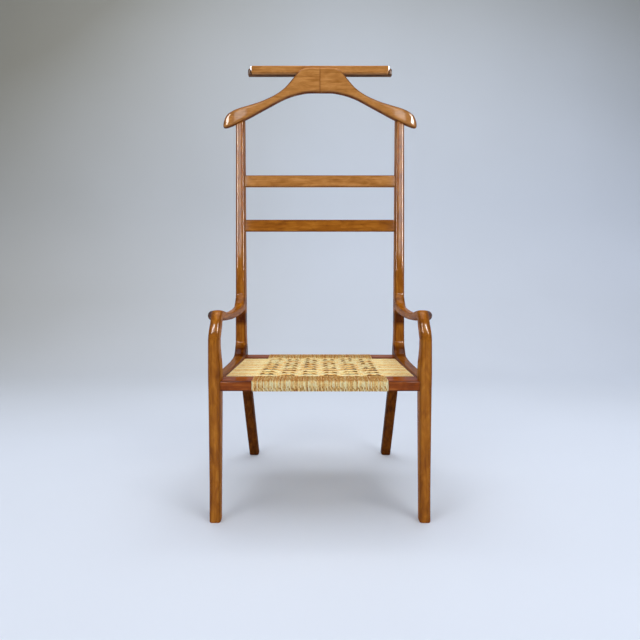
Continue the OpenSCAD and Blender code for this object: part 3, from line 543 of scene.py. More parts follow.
def store_stain_and_shade(mesh, values):
    attribute = mesh.attributes.new("stain_and_shade", "FLOAT", "POINT")
    attribute.data.foreach_set("value", values.astype(np.float32))
    print(f"stain on {np.mean(values > 0.3):.0%} of {mesh.name}")


# %% [markdown]
# Each side takes its four members, with every dowel and nail that would leave a hole. The plugs are
# cut off at the face that they come out of. Last, the leg's outer edge is filled a little under the
# elbow, where the leg and the arm meet at a slight angle and the maker's rasp leaves a fair curve.

# %% Side frames
FRAME_VOXEL = 0.0022
FILLED = 0.0028  # most that the leg's outer edge is filled
FILLED_REACH = 0.030  # up and down from its middle
FILLED_UP = 0.022  # its middle, above the arm's underside
FILLED_BEHIND = 0.004  # past the leg's rear face
FILLED_FADE = 0.012
NAIL_CUT = 0.002  # past the rear rail's end, where the nails are cut off
HOLLOW_SHADE = 0.7
leg_in_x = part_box("front_rail")[1].x
post_in_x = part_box("rear_rail")[1].x


def plugs(side):
    """Dowels and nails that fill the bores, cut off at the face that they come out of."""
    def outside(limit):
        return lambda co: Vector((side * max(side * co.x, limit), co.y, co.z))

    lower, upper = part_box("lower_slat")[1].x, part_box("upper_slat")[1].x
    middle = (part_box("lower_slat")[1].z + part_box("upper_slat")[0].z) / 2

    def slat_end(co):
        return outside(lower if co.z < middle else upper)(co)

    return [
        solid("arm_front_dowels", side), solid("arm_rear_dowels", side), solid("side_rail_dowels", side),
        solid("front_rail_dowels", side, outside(leg_in_x)),
        solid("rear_rail_dowels", side, outside(post_in_x)),
        solid("slat_dowels", side, slat_end),
        solid("cord_nails", side, outside(post_in_x + NAIL_CUT)),
    ]


def fair(mesh, side):
    """Fills the leg's outer edge under the elbow."""
    points = coordinates(mesh)
    outer = np.clip((side * points[:, 0] - leg_box[0].x) / (leg_box[1].x - leg_box[0].x), 0, 1)
    ahead = np.clip((leg_box[1].y + FILLED_BEHIND - points[:, 1]) / FILLED_FADE, 0, 1)
    height = np.clip((points[:, 2] - arm_box[0].z - FILLED_UP) / FILLED_REACH, -1, 1)
    points[:, 0] += side * FILLED * outer * ahead * np.cos(np.pi / 2 * height) ** 2
    mesh.vertices.foreach_set("co", points.astype(np.float32).ravel())
    mesh.update()


for side, word in SIDES:
    nodes = [f"{kind}_{word}" for kind in ("front_leg", "arm", "back_post", "side_rail")]
    skin = carve([solid(node) for node in nodes] + plugs(side), FRAME_VOXEL)
    fair(skin, side)
    for vertex in skin.vertices:
        vertex.co.z = max(vertex.co.z, 0)
    store_grain(skin, grain_of_side)
    # Painted shade in hollows and bends, with the side rail's darker tone.
    store_stain_and_shade(skin, np.maximum(HOLLOW_SHADE * hollows(skin), bends(skin)))
    piece(f"side_frame_{word}", skin, carved_wood, nodes)

# %% [markdown]
# The rear legs are darker and stand apart under the seat. They are carved in the same way, each on
# its own.

# %% Rear legs
for side, word in SIDES:
    rear = carve([solid(f"rear_leg_{word}"), solid("rear_leg_dowels", side)], FRAME_VOXEL)
    for vertex in rear.vertices:
        vertex.co.z = min(max(vertex.co.z, 0), rail_box[0].z)
    piece(f"rear_leg_finish_{word}", rear, leg_wood, [f"rear_leg_{word}"])

# %% [markdown]
# ## Hanger
#
# The hanger is glued up from two halves, and the joint shows as a fine dark upright line. Carving
# would round the joint's edges away, so each half is carved a little past the joint and then sawn off
# flat there, which leaves the crisp edge that two planed faces have.

# %% Hanger halves
HANGER_VOXEL = 0.0018
PAST_JOINT = 0.008  # how far a half is carved past the joint
SAW_GAP = 0.00005
EDGE_BLUR = 5
UPPER_EDGE = 3.0  # how strongly the upper and lower edges take a painted shade
LOWER_EDGE = 1.25
CROWN_LIGHT, CROWN_FADE = 0.018, 0.012  # how far down from its top the crown is kept free of the painted edge shade
HALF_SHIFT = 2.3  # so that the halves don't mirror each other's figure


def grain_of_hanger(side):
    def grain(points):
        x, y, z = points.T
        return np.column_stack([y + HALF_SHIFT * side, z, x])
    return grain


def sawn(mesh, side):
    """The mesh cut off flat at the middle joint, with the cut face closed."""
    shape = bmesh.new()
    shape.from_mesh(mesh)
    cut = bmesh.ops.bisect_plane(
        shape, geom=[*shape.verts, *shape.edges, *shape.faces], dist=1e-7,
        plane_co=(side * SAW_GAP, 0, 0), plane_no=(side, 0, 0), clear_inner=True)
    rim = [item for item in cut["geom_cut"] if isinstance(item, bmesh.types.BMEdge)]
    bmesh.ops.edgeloop_fill(shape, edges=rim)
    for edge in rim:
        edge.smooth = False
    bmesh.ops.recalc_face_normals(shape, faces=shape.faces)
    shape.to_mesh(mesh)
    shape.free()
    return mesh


def edges(mesh):
    """How much painted shade a point gets near the hanger's rounded edges, from 0 to 1; the crown's top is
    left without it.
    """
    edge = 1 - rising(np.abs(normals(mesh)[:, 1]), 0.45, 0.45)
    upper = normals(mesh)[:, 2] > 0
    both = np.column_stack([edge * upper, edge * ~upper])
    mean = neighbour_mean(mesh)
    for _ in range(EDGE_BLUR):
        both = mean(both)
    z = coordinates(mesh)[:, 2]
    under_crown = 1 - rising(z, z.max() - CROWN_LIGHT, CROWN_FADE)
    return np.clip(UPPER_EDGE * both[:, 0] + LOWER_EDGE * both[:, 1], 0, 1) * under_crown


for side, word in SIDES:
    def past_joint(co):
        return Vector((co.x if abs(co.x) > 1e-5 else -side * PAST_JOINT, co.y, co.z))

    def dowel_part(co):
        return Vector((side * max(side * co.x, -PAST_JOINT), co.y, co.z))

    half = carve([solid(f"hanger_{word}", keep=past_joint), solid("hanger_joint_dowels", keep=dowel_part)],
                 HANGER_VOXEL)
    half = sawn(half, side)
    store_grain(half, grain_of_hanger(side))
    # Painted shade in the hollows and along the upper and lower edges.
    store_stain_and_shade(half, np.maximum(hollows(half), edges(half)))
    piece(f"hanger_finish_{word}", half, hanger_wood, [f"hanger_{word}"])

# %% [markdown]
# ## Straight wooden parts
#
# The rails, slats, jaws and the block are already true in the construction. They keep their shapes and only
# take the finish. The seat rails are redder, and the rear jaw is painted darker all over as shade. The slats
# and the seat rails also take a painted shade on their rounded long edges.

# %% Finish on the straight parts
def finish_node(name, material):
    slots = frame["nodes"][name].data.materials
    slots.clear()
    slots.append(material)


for name in ("press_front_jaw", "centre_block"):
    finish_node(name, cross_wood)
finish_node("upper_slat", upper_wood)
finish_node("lower_slat", lower_wood)
for name in ("front_rail", "rear_rail"):
    finish_node(name, rail_wood)
finish_node("press_rear_jaw", shaded_jaw_wood)
for name in frame["nodes"]:
    if name.endswith("_dowels"):
        finish_node(name, bare_wood)
print("bare dowels:", [name for name in frame["nodes"] if name.endswith("_dowels")])

# %% [markdown]
# ## Steel and felt
#
# The hinge plates, pins, springs, screws and nails are bright steel with fine scratches. The jaws'
# linings are a dull felt, whose surface is fibre noise with a little sheen.

# %% Steel and felt
LININGS = ("press_front_lining", "press_rear_lining")
METAL = ("press_hinge_plates", "press_plate_screws", "press_pivot_pins", "press_springs", "cord_nails",
         "block_screws", "hanger_screws")

steel, tree, shader = new_material("bright steel")
scratches = tree.noise(900.0, 3.0, tree.place())
tree.put(shader, "Roughness", tree.math("MULTIPLY_ADD", scratches, 0.2, 0.2))
tree.put(shader, "Base Color", tree.ramp(scratches, [(0.3, (0.46, 0.46, 0.47)), (0.7, (0.62, 0.62, 0.63))]))
shader.inputs["Metallic"].default_value = 1.0

felt, tree, shader = new_material("brown felt")
fibres = tree.noise(1500.0, 4.0, tree.place())
tree.put(shader, "Base Color", tree.ramp(fibres, [(0.3, linear(52, 28, 16)), (0.7, linear(88, 52, 32))]))
nap = tree.add("ShaderNodeBump", {"Height": fibres, "Strength": 0.5, "Distance": 0.0005})
tree.put(shader, "Normal", nap)
shader.inputs["Roughness"].default_value = 0.95
shader.inputs["Sheen Weight"].default_value = 0.4

for name in LININGS:
    finish_node(name, felt)
for name in METAL:
    finish_node(name, steel)
print(f"felt on {len(LININGS)} nodes, steel on {len(METAL)}")

# %% [markdown]
# ## Paper cord
#
# Each cord is three paper plies laid together, straw-coloured and nearly matt. The twist is drawn by three
# thin dark lines of painted shade in the grooves between the plies, which wind round the cord, and by a bump
# that rounds each ply. It needs to know how far along the cord a point lies and how far round it: both are
# stored as attributes where the cord's tube is made. A third one tints whole cords, because paper varies, and
# a fourth is high where a cord dips under another, which gets a painted shade there; it also carries a little
# dust beside the seat, and the windings' painted shade and soil. On the windings a fifth marks the sides by
# which the turns touch, which get a painted shade. Two noises, one as wide as a cord and one as wide as a
# band, fade and darken the paper in patches.

# %% Cord
PLY_LAY = 0.011  # metres along the cord for one full turn of a ply
PLIES = 3
PATCH_SHARE = 0.34  # of each of the two noises, in a cord's shade
TINT_SHARE = 0.32  # of the cord's own tint

paper_cord, tree, shader = new_material("waxed paper cord")
along, round_x, round_y, tint, low, side = (
    tree.add("ShaderNodeAttribute", attribute_name=name).outputs["Fac"]
    for name in ("along", "round_x", "round_y", "tint", "low", "side"))
angle = tree.math("ARCTAN2", round_y, round_x)
turns = tree.times(along, 2 * math.pi / PLY_LAY)
wound = tree.times(tree.plus(angle, turns), PLIES / 2)
ply = tree.math("ABSOLUTE", tree.math("SINE", wound))
place = tree.place()
mottle = tree.noise(210.0, 3.0, place)
patches = tree.noise(75.0, 2.0, place)
worn = tree.plus(tree.times(mottle, PATCH_SHARE), tree.times(patches, PATCH_SHARE))
shade = tree.math("MULTIPLY_ADD", tint, TINT_SHARE, worn)
straw = tree.ramp(shade, [(0.28, linear(210, 148, 66)), (0.40, linear(250, 206, 130)),
                          (0.50, linear(255, 231, 162)), (0.64, linear(255, 246, 200))])
# Painted shade in the grooves between the plies.
ply_groove_shade = tree.ramp(ply, [(0.0, (0.48, 0.33, 0.18)), (0.26, (1, 1, 1))])
# low darkens with painted shade where cords dip, in the slits and on the windings, and with dust beside the
# seat and soil on the windings.
dust_and_shade = tree.ramp(low, [(0.05, (1, 1, 1)), (0.50, (0.60, 0.38, 0.17)), (0.95, (0.22, 0.10, 0.02))])
# Painted shade on the sides where the windings' turns touch.
between = tree.ramp(side, [(0.60, (1, 1, 1)), (0.98, (0.50, 0.36, 0.20))])
straw = tree.mix(1.0, tree.mix(1.0, straw, ply_groove_shade, "MULTIPLY"), between, "MULTIPLY")
tree.put(shader, "Base Color", tree.mix(1.0, straw, dust_and_shade, "MULTIPLY"))
tree.put(shader, "Normal", tree.add("ShaderNodeBump", {"Height": ply, "Strength": 0.7, "Distance": 0.0007}))
shader.inputs["Roughness"].default_value = 0.6
shader.inputs["Specular IOR Level"].default_value = 0.05
print(f"{PLIES}-ply cord, one turn in {PLY_LAY * 1000:.0f} mm")

# %% [markdown]
# ## Cord by Geometry Nodes
#
# Windings, warp and weft are all the same thing: one line of cord repeated at even steps, bent, and
# given a round section. So each tree copies a base line onto points, bends the copies with a few
# sums, and runs a circle along them. The inputs are named and hold the sizes. The seed is fixed, so
# the small differences between cords are the same each time.

# %% Parts of a cord tree
CORD = 0.0033  # diameter
SECTION_SIDES = 8


class CordTree(Tree):
    def __init__(self, name, inputs):
        group = bpy.data.node_groups.new(name, "GeometryNodeTree")
        super().__init__(group)
        group.interface.new_socket("Geometry", in_out="INPUT", socket_type="NodeSocketGeometry")
        self.ids = {}
        for label, value in inputs.items():
            kind = "NodeSocketInt" if isinstance(value, int) else "NodeSocketFloat"
            socket = group.interface.new_socket(label, in_out="INPUT", socket_type=kind)
            self.ids[label] = (socket.identifier, value)
        group.interface.new_socket("Geometry", in_out="OUTPUT", socket_type="NodeSocketGeometry")
        self.inputs = group.nodes.new("NodeGroupInput")
        self.geometry = self.inputs.outputs["Geometry"]

    def __getitem__(self, label):
        return self.inputs.outputs[label]

    def store(self, geometry, label, value, domain):
        inputs = {"Geometry": geometry, "Name": label, "Value": value}
        return self.add("GeometryNodeStoreNamedAttribute", inputs, data_type="FLOAT",
                        domain=domain).outputs["Geometry"]

    def copies(self, points, base):
        """The base line on every point, each copy with a tint of its own."""
        placed = self.add("GeometryNodeInstanceOnPoints", {"Points": points, "Instance": base}).outputs[0]
        tint = self.add("FunctionNodeRandomValue", {"Seed": self["Seed"]}, data_type="FLOAT").outputs["Value"]
        tinted = self.store(placed, "tint", tint, "INSTANCE")
        return self.add("GeometryNodeRealizeInstances", {"Geometry": tinted}).outputs[0]

    def place_of(self):
        return self.parts(self.add("GeometryNodeInputPosition"))

    def bent(self, lines, position):
        return self.add("GeometryNodeSetPosition", {"Geometry": lines, "Position": position}).outputs[0]

    def tube(self, lines, material, touching=False):
        """Runs a circle along the lines, and ends the tree."""
        length = self.add("GeometryNodeSplineParameter").outputs["Length"]
        lines = self.store(lines, "along", length, "POINT")
        circle = self.add("GeometryNodeCurvePrimitiveCircle",
                          {"Resolution": SECTION_SIDES, "Radius": self.math("DIVIDE", self["Diameter"], 2)})
        factor = self.add("GeometryNodeSplineParameter").outputs["Factor"]
        turn = self.times(factor, 2 * math.pi)
        ring = self.store(circle.outputs["Curve"], "round_x", self.math("COSINE", turn), "POINT")
        ring = self.store(ring, "round_y", self.math("SINE", turn), "POINT")
        mesh = self.add("GeometryNodeCurveToMesh", {"Curve": lines, "Profile Curve": ring, "Fill Caps": True})
        real = self.add("GeometryNodeRealizeInstances", {"Geometry": mesh.outputs[0]}).outputs[0]
        # The sides where turns touch are marked for a painted shade.
        if touching:
            facing_x, _, _ = self.parts(self.add("GeometryNodeInputNormal"))
            real = self.store(real, "side", self.math("ABSOLUTE", facing_x), "POINT")
        smooth = self.add("GeometryNodeSetShadeSmooth", {"Geometry": real}).outputs[0]
        done = self.add("GeometryNodeSetMaterial", {"Geometry": smooth, "Material": material}).outputs[0]
        end = self.tree.nodes.new("NodeGroupOutput")
        self.tree.links.new(done, end.inputs[0])

    def run(self, base):
        """The plain mesh that the tree makes from a base line."""
        modifier = base.modifiers.new("cords", "NODES")
        modifier.node_group = self.tree
        for identifier, value in self.ids.values():
            modifier[identifier] = value
        return evaluated(base)


def line_object(name, points, cyclic=False):
    """A base line through the points, as a curve object at the origin."""
    curve = bpy.data.curves.new(name, "CURVE")
    curve.dimensions = "3D"
    spline = curve.splines.new("POLY")
    spline.points.add(len(points) - 1)
    for point, place in zip(spline.points, points):
        point.co = (*place, 1)
    spline.use_cyclic_u = cyclic
    made = bpy.data.objects.new(name, curve)
    scene.collection.objects.link(made)
    return made


# %% [markdown]
# ### Windings on the rails
#
# The front and rear rails are wound with close turns of cord from one wooden end to the other. One turn is a
# rounded rectangle round the rail, half a cord inside the construction's plain sleeve. The tree repeats it
# along the rail. A painted shade darkens the turns on top and down the side, and leaves the rounded edge
# between them pale, and a streaky noise soils them. Every two or three turns a gap of painted shade follows.
# The gaps lean over, and a noise sways them.

# %% Windings
CORNER_RADIUS = 0.004
CORNER_POINTS = 5
TURN_SAMPLES = 44
THINNER = 0.97  # of the cord's diameter, so that neighbouring turns only just touch
TURNS_TOGETHER = 2.7
LEAN = 420  # by which the gaps of painted shade turn over, in radians per metre of height
SWAY = 14.0  # by which noise moves the gaps, in radians
SOIL = 0.8
# From one depth below the top cord to another, in metres, and the painted shade at each
TOP_SHADE = (0.001, 0.006, 0.66, -0.1)
SIDE_SHADE = (0.010, 0.016, 0.0, 0.50)
GAP_SHADE = (0.006, 0.012, 0.10, 0.42)
LESS_DARKENING = 0.24


def turn_round(low, high, radius):
    """Points of one turn in the y-z plane, between the corners of the sleeve's section."""
    centres = [(high.y - radius, high.z - radius), (low.y + radius, high.z - radius),
               (low.y + radius, low.z + radius), (high.y - radius, low.z + radius)]
    points = []
    for quarter, (y, z) in enumerate(centres):
        for k in range(CORNER_POINTS):
            angle = math.pi / 2 * (quarter + k / (CORNER_POINTS - 1))
            points.append((0.0, y + radius * math.cos(angle), z + radius * math.sin(angle)))
    return points


def winding(node):
    low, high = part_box(node)
    inset = Vector((0, CORD / 2, CORD / 2))
    base = line_object("turn", turn_round(low + inset, high - inset, CORNER_RADIUS), cyclic=True)
    length = high.x - low.x
    tree = CordTree(f"turns of {node}", {"Turns": round(length / CORD), "Length": length,
                                         "Diameter": CORD * THINNER, "Waver": 0.0004, "Seed": 7})
    step = tree.math("DIVIDE", tree["Length"], tree["Turns"])
    start = tree.times(tree.minus(tree["Length"], step), -0.5)
    points = tree.add("GeometryNodeMeshLine", {"Count": tree["Turns"], "Start Location": tree.vector(start),
                                               "Offset": tree.vector(step)}, mode="OFFSET").outputs[0]
    lines = tree.copies(points, tree.geometry)
    lines = tree.add("GeometryNodeResampleCurve", {"Curve": lines, "Count": TURN_SAMPLES}).outputs[0]
    x, y, z = tree.place_of()
    noise = tree.noise(90.0, 1.0)
    waver = tree.times(tree.minus(noise, 0.5), tree.times(tree["Waver"], 6))
    streaks = tree.vector(x, tree.times(y, 0.15), tree.times(z, 0.15))
    soil = tree.minus(tree.noise(420.0, 2.0, streaks), 0.5)
    # worn here is painted shade on the top, down the side and in the gaps, with streaks of soil.
    below = tree.minus(high.z - CORD / 2, z)
    worn = tree.plus(tree.graded(below, *TOP_SHADE), tree.graded(below, *SIDE_SHADE))
    worn = tree.math("MULTIPLY_ADD", soil, SOIL, worn)
    sway = tree.times(tree.noise(40.0, 1.0), SWAY)
    across = tree.math("MULTIPLY_ADD", x, 2 * math.pi / (TURNS_TOGETHER * CORD), sway)
    gaps = tree.math("SINE", tree.math("MULTIPLY_ADD", z, LEAN, across))
    worn = tree.math("MULTIPLY_ADD", gaps, tree.graded(below, *GAP_SHADE), tree.minus(worn, LESS_DARKENING))
    lines = tree.store(lines, "low", worn, "POINT")
    lines = tree.bent(lines, tree.vector(tree.plus(x, waver), y, z))
    tree.tube(lines, paper_cord, touching=True)
    return tree.run(base)


for node in ("front_rail_winding", "rear_rail_winding"):
    piece(f"{node}_cord", winding(node), paper_cord, [node])

# %% [markdown]
# ### The woven seat
#
# Six groups of warp run from the front winding to the rear one. Seventeen bands of weft run from side
# rail to side rail, five cords to a band, and each band goes over one group and under the next. Its
# height is a sine wave over the warp's width that turns upside down from one band to the next. Where
# a band passes over a group its cords are drawn together and heap up, so that dark slits open beside
# the group, between that band and the next. The rear cords of the lower band are dark there, and so
# is the front cord of the band behind it, since little light reaches them. Beyond the outer groups
# nobody sits, so a little dust stays there. The warp takes a smaller wave of its own, front to back.

# %% Sizes of the weave
WARP_GROUPS = 6
WARP_STRANDS = 5
WARP_PITCH = 0.059
WEFT_BANDS = 17
WEFT_STRANDS = 5
WEFT_LIFT = 0.0046
WARP_LIFT = 0.0009
GATHER = 0.12  # share of its depth by which a band draws together over a group
HEAP = 0.0008  # by which a band's middle cord then stands above its outer ones
SLIT_AT = 0.76  # share of the full dip at which a slit's painted shade is darkest
SLIT_REACH = 0.22
SIDE_DUST = 0.18
DUST_FROM, DUST_FULL = -0.01, 0.06  # metres beyond the outer groups
WEFT_PLAY = 0.0002  # between the cords' ends and the construction's
WEFT_WAVER = 0.0014
WEFT_SAMPLES = 128
WARP_SAMPLES = 120

weft_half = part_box("seat_weft")[1].x
warp_low, warp_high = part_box("seat_warp")
seat_z = (warp_low.z + warp_high.z) / 2
seat_front, seat_back = warp_low.y, warp_high.y
rail_taper = (leg_in_x - post_in_x) / (seat_back - seat_front)
band_depth = (seat_back - seat_front) / WEFT_BANDS
print(f"weave {2 * weft_half:.3f} m wide, {seat_back - seat_front:.3f} m deep")


def weave_inputs(count, lift):
    return {"Count": count, "Diameter": CORD, "Lift": lift, "Pitch": WARP_PITCH,
            "Band Depth": band_depth, "Front": seat_front, "Seed": 3}


def narrowing(tree, y):
    """The seat's width at a depth, as a share of its width at the front."""
    back = tree.minus(y, tree["Front"])
    return tree.minus(1.0, tree.times(back, rail_taper / leg_in_x))


def sign_of(tree, number):
    """1 for an even number and -1 for an odd one."""
    return tree.minus(1.0, tree.times(tree.math("MODULO", number, 2.0), 2.0))


# %% [markdown]
# The weft's tree starts with a straight cord at every step from front to back. Each point is then
# told its band, its place in the band and its place on the wave, and from these come its height, how
# far it is drawn together, and how dark it is.

# %% Weft
def weft():
    half = weft_half - WEFT_PLAY
    tree = CordTree("weft", weave_inputs(WEFT_BANDS * WEFT_STRANDS, WEFT_LIFT))
    base = line_object("weft line", [(-half + 2 * half * k / WEFT_SAMPLES, 0, 0)
                                     for k in range(WEFT_SAMPLES + 1)])
    step = (seat_back - seat_front) / (WEFT_BANDS * WEFT_STRANDS)
    points = tree.add("GeometryNodeMeshLine", {
        "Count": tree["Count"], "Start Location": (0, seat_front + step / 2, seat_z), "Offset": (0, step, 0)},
        mode="OFFSET").outputs[0]
    lines = tree.copies(points, tree.geometry)
    x, y, z = tree.place_of()
    bands = tree.math("DIVIDE", tree.minus(y, tree["Front"]), tree["Band Depth"])
    band = tree.math("FLOOR", bands)
    in_band = tree.minus(tree.minus(bands, band), 0.5)
    reach = WARP_GROUPS * WARP_PITCH / 2
    phase = tree.times(tree.math("DIVIDE", tree.plus(x, reach), tree["Pitch"]), math.pi)
    inside = tree.math("LESS_THAN", tree.math("ABSOLUTE", x), reach)
    wave = tree.times(tree.math("SINE", phase), inside)
    signed = tree.times(wave, sign_of(tree, band))
    drawn = tree.times(signed, signed)
    heap = tree.times(tree.times(drawn, tree.times(in_band, in_band)), -4 * HEAP)
    rise = tree.math("MULTIPLY_ADD", signed, tree["Lift"], heap)
    waver = tree.times(tree.minus(tree.noise(160.0, 1.0), 0.5), WEFT_WAVER)
    pulled = tree.times(tree.times(drawn, in_band), tree.times(tree["Band Depth"], -GATHER))
    # The slits' darkness is a painted shade, on the rear cords of the lower band and on the front cord of the
    # band behind it.
    off = tree.math("DIVIDE", tree.minus(tree.math("ABSOLUTE", signed), SLIT_AT), SLIT_REACH)
    slit = tree.math("MAXIMUM", tree.minus(1.0, tree.times(off, off)), 0.0)
    behind = tree.math("MULTIPLY_ADD", tree.math("GREATER_THAN", in_band, 0.1), 0.85, 0.15)
    below = tree.times(tree.math("LESS_THAN", signed, 0.0), behind)
    front_cord = tree.times(tree.math("GREATER_THAN", signed, 0.0), tree.math("LESS_THAN", in_band, -0.3))
    slit = tree.times(slit, tree.math("MULTIPLY_ADD", tree.noise(55.0, 0.0), 3.2, -0.75))
    low = tree.times(slit, tree.math("MAXIMUM", below, front_cord))
    outside = tree.graded(tree.math("ABSOLUTE", x), reach + DUST_FROM, reach + DUST_FULL, 0.0, SIDE_DUST)
    lines = tree.store(lines, "low", tree.plus(low, outside), "POINT")
    lines = tree.bent(lines, tree.vector(
        tree.times(x, narrowing(tree, y)),
        tree.plus(tree.plus(y, pulled), tree.times(waver, 0.5)),
        tree.plus(tree.plus(z, rise), waver)))
    tree.tube(lines, paper_cord)
    return tree.run(base)


piece("seat_weft_cords", weft(), paper_cord, ["seat_weft"])

# %% [markdown]
# The warp's tree starts from a row of numbered points, one for each strand. The number says which
# group the strand is in and where in the group it lies.

# %% Warp
def warp():
    tree = CordTree("warp", weave_inputs(WARP_GROUPS * WARP_STRANDS, WARP_LIFT))
    length = seat_back - seat_front
    base = line_object("warp line", [(0, seat_front + length * k / WARP_SAMPLES, 0)
                                     for k in range(WARP_SAMPLES + 1)])
    points = tree.add("GeometryNodeMeshLine", {"Count": tree["Count"], "Offset": (1, 0, 0)},
                      mode="OFFSET").outputs[0]
    index, _, _ = tree.place_of()
    group = tree.math("FLOOR", tree.math("DIVIDE", tree.plus(index, 0.01), WARP_STRANDS))
    strand = tree.minus(index, tree.times(group, WARP_STRANDS))
    middle = tree.times(tree.minus(group, (WARP_GROUPS - 1) / 2), tree["Pitch"])
    beside = tree.times(tree.minus(strand, (WARP_STRANDS - 1) / 2), CORD)
    placed = tree.bent(points, tree.vector(tree.plus(middle, beside), 0.0, seat_z))
    lines = tree.copies(placed, tree.geometry)
    x, y, z = tree.place_of()
    from_side = tree.plus(x, WARP_GROUPS * WARP_PITCH / 2)
    group = tree.math("FLOOR", tree.math("DIVIDE", from_side, tree["Pitch"]))
    bands = tree.math("DIVIDE", tree.minus(y, tree["Front"]), tree["Band Depth"])
    wave = tree.math("SINE", tree.times(bands, math.pi))
    under = tree.times(wave, sign_of(tree, group))
    dip = tree.times(under, tree["Lift"])
    # low here is a painted shade where the warp dips under the weft.
    lines = tree.store(lines, "low", under, "POINT")
    lines = tree.bent(lines, tree.vector(tree.times(x, narrowing(tree, y)), y, tree.minus(z, dip)))
    tree.tube(lines, paper_cord)
    return tree.run(base)


piece("seat_warp_cords", warp(), paper_cord, ["seat_warp"])

# %% [markdown]
# ## Floor, backdrop and light
#
# The chair stands on a pale floor that sweeps up into a backdrop without a corner. The backdrop gets a
# painted shade towards its upper corners and a painted warmer light on the left. The painted shade fades out
# beyond the picture's sides, where less light falls anyway.

# %% Floor and backdrop
FLOOR_FRONT = -12.0
FLOOR_BACK = 1.5
SWEEP_RADIUS = 1.2
WALL_TOP = 4.0
HALF_WIDTH = 12.0
SWEEP_STEPS = 24
VIEW_HALF_WIDTH = 2.45  # about half the width that the camera sees of the wall
VIEW_RISE = 2.05  # about what it sees above its own height
TOP_DARK = 0.20
CORNER_DARK = 0.15
WALL_DARK = 0.15  # in the picture's middle
LEFT_DARK = 0.08  # this much more at the picture's left side, and less at its right
WALL_FROM, WALL_FULL = 0.4, 2.4  # front to back, where the paint starts and is full
SEEN_TO, GONE_AT = 1.15, 2.1  # in half widths, where the paint starts to fade and where it ends
CLOUDS = 0.10


def sweep_profile():
    yield FLOOR_FRONT, 0.0
    for k in range(SWEEP_STEPS + 1):
        angle = math.pi / 2 * k / SWEEP_STEPS
        yield FLOOR_BACK + SWEEP_RADIUS * math.sin(angle), SWEEP_RADIUS * (1 - math.cos(angle))
    yield FLOOR_BACK + SWEEP_RADIUS, WALL_TOP


stage_mesh = bpy.data.meshes.new("floor")
profile = list(sweep_profile())
corners = [(x, y, z) for y, z in profile for x in (-HALF_WIDTH, HALF_WIDTH)]
faces = [(2 * k, 2 * k + 1, 2 * k + 3, 2 * k + 2) for k in range(len(profile) - 1)]
stage_mesh.from_pydata(corners, [], faces)
stage_mesh.shade_smooth()
floor = bpy.data.objects.new("floor", stage_mesh)
scene.collection.objects.link(floor)
paper, tree, shader = new_material("pale backdrop paper")
place = tree.place()
x, y, z = tree.parts(place)
# Painted shade on the backdrop: darker towards the top and the upper corners.
aside = tree.math("DIVIDE", x, VIEW_HALF_WIDTH)
height = tree.math("DIVIDE", tree.minus(z, CAMERA_HEIGHT), VIEW_RISE)
height = tree.math("MAXIMUM", height, 0.0)
corner = tree.times(tree.times(aside, aside), height)
towards_top = tree.times(tree.math("POWER", height, 1.5), TOP_DARK)
dark = tree.plus(towards_top, tree.times(corner, CORNER_DARK))
dark = tree.plus(dark, tree.math("MULTIPLY_ADD", aside, -LEFT_DARK, WALL_DARK))
in_view = tree.graded(tree.math("ABSOLUTE", aside), SEEN_TO, GONE_AT, 1.0, 0.0)
on_wall = tree.times(tree.graded(y, WALL_FROM, WALL_FULL, 0.0, 1.0), in_view)
cloud = tree.times(tree.minus(tree.noise(0.7, 2.0, place), 0.5), CLOUDS)
dark = tree.plus(tree.times(dark, on_wall), cloud)
painted = tree.ramp(dark, [(0.0, linear(226, 233, 244)), (0.28, linear(191, 196, 201)),
                           (0.51, linear(160, 161, 156))])
# Painted light: the left side is tinted warmer.
to_the_left = tree.math("MINIMUM", tree.math("MAXIMUM", tree.times(aside, -1.0), 0.0), 1.0)
warmer = tree.times(to_the_left, tree.math("MULTIPLY_ADD", on_wall, 0.8, 0.2))
warmer = tree.times(warmer, in_view)
tree.put(shader, "Base Color", tree.mix(warmer, painted, (0.95, 0.90, 0.81, 1), "MULTIPLY"))
shader.inputs["Roughness"].default_value = 0.8
shader.inputs["Specular IOR Level"].default_value = 0.0
stage_mesh.materials.append(paper)
print(f"floor and backdrop: {len(faces)} faces")

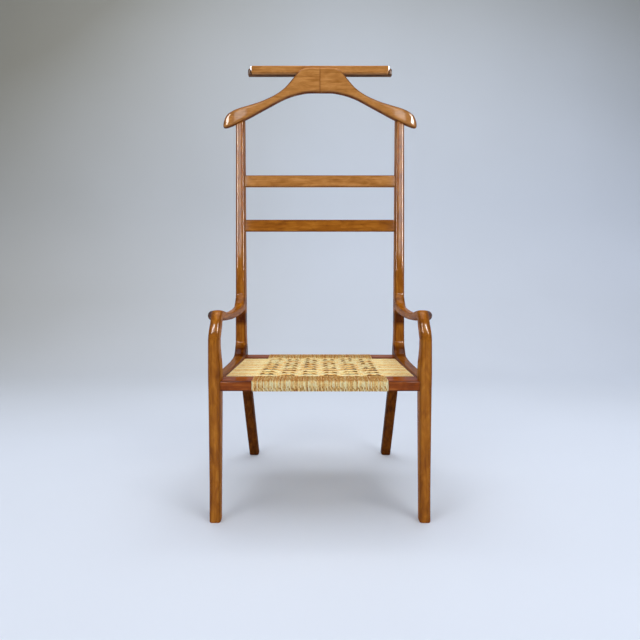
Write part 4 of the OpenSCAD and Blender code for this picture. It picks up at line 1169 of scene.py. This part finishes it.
# %% [markdown]
# The light is that of a studio. A broad soft lamp overhead and two in front give an even level, and
# a dim sky fills the shadows. Two upright reflectors behind the camera, one to each side, draw the
# bright lines on every bend: they are seen in the varnish only, so they sharpen no shadow. So are two
# narrow strips between them, which show as a pale band on the flat front of each leaning post. One
# more lamp brightens the backdrop. The right reflector and the right lamp in front are half as strong
# again as the left ones.

# %% Lamps and sky
def lamp(name, place, aim, size, watts, in_varnish_only=False):
    data = bpy.data.lights.new(name, "AREA")
    data.shape = "RECTANGLE"
    data.size, data.size_y = size
    data.energy = watts
    made = bpy.data.objects.new(name, data)
    made.location = place
    made.rotation_euler = (Vector(aim) - Vector(place)).to_track_quat("-Z", "Y").to_euler()
    made.visible_camera = False
    made.visible_diffuse = not in_varnish_only
    scene.collection.objects.link(made)


REFLECTOR_WATTS = 250
STRIP_WATTS = 12
PANEL_WATTS = 40
OVERHEAD_WATTS = 66
BACKDROP_WATTS = 14
SKY_STRENGTH = 0.45
MORE_ON_THE_RIGHT = 0.2  # and as much less on the left

for word, side in (("left", -1), ("right", 1)):
    share = 1 + MORE_ON_THE_RIGHT * side
    lamp(f"{word} reflector", place=(side * 1.55, -2.75, 1.75), aim=(0, 0, 0.75), size=(0.6, 1.5),
         watts=REFLECTOR_WATTS * share, in_varnish_only=True)
    lamp(f"{word} panel", place=(side * 2.3, -3.0, 2.2), aim=(0, 0, 0.7), size=(2.0, 2.0),
         watts=PANEL_WATTS * share)
    lamp(f"{word} strip", place=(side * 0.74, -2.75, 1.9), aim=(side * 0.25, 0.15, 1.0), size=(0.15, 1.6),
         watts=STRIP_WATTS, in_varnish_only=True)
lamp("overhead lamp", place=(0, 0, 3.7), aim=(0, 0, 0), size=(3.0, 3.0), watts=OVERHEAD_WATTS)
lamp("backdrop lamp", place=(0, 0.9, 3.3), aim=(0, 2.6, 0.6), size=(5.0, 0.8), watts=BACKDROP_WATTS)
print("lamps:", [light.name for light in bpy.data.lights])
world = bpy.data.worlds.new("sky")
world.use_nodes = True
sky = world.node_tree.nodes["Background"]
sky.inputs["Color"].default_value = (*linear(214, 220, 234), 1)
sky.inputs["Strength"].default_value = SKY_STRENGTH
scene.world = world
scene.view_settings.view_transform = "Standard"
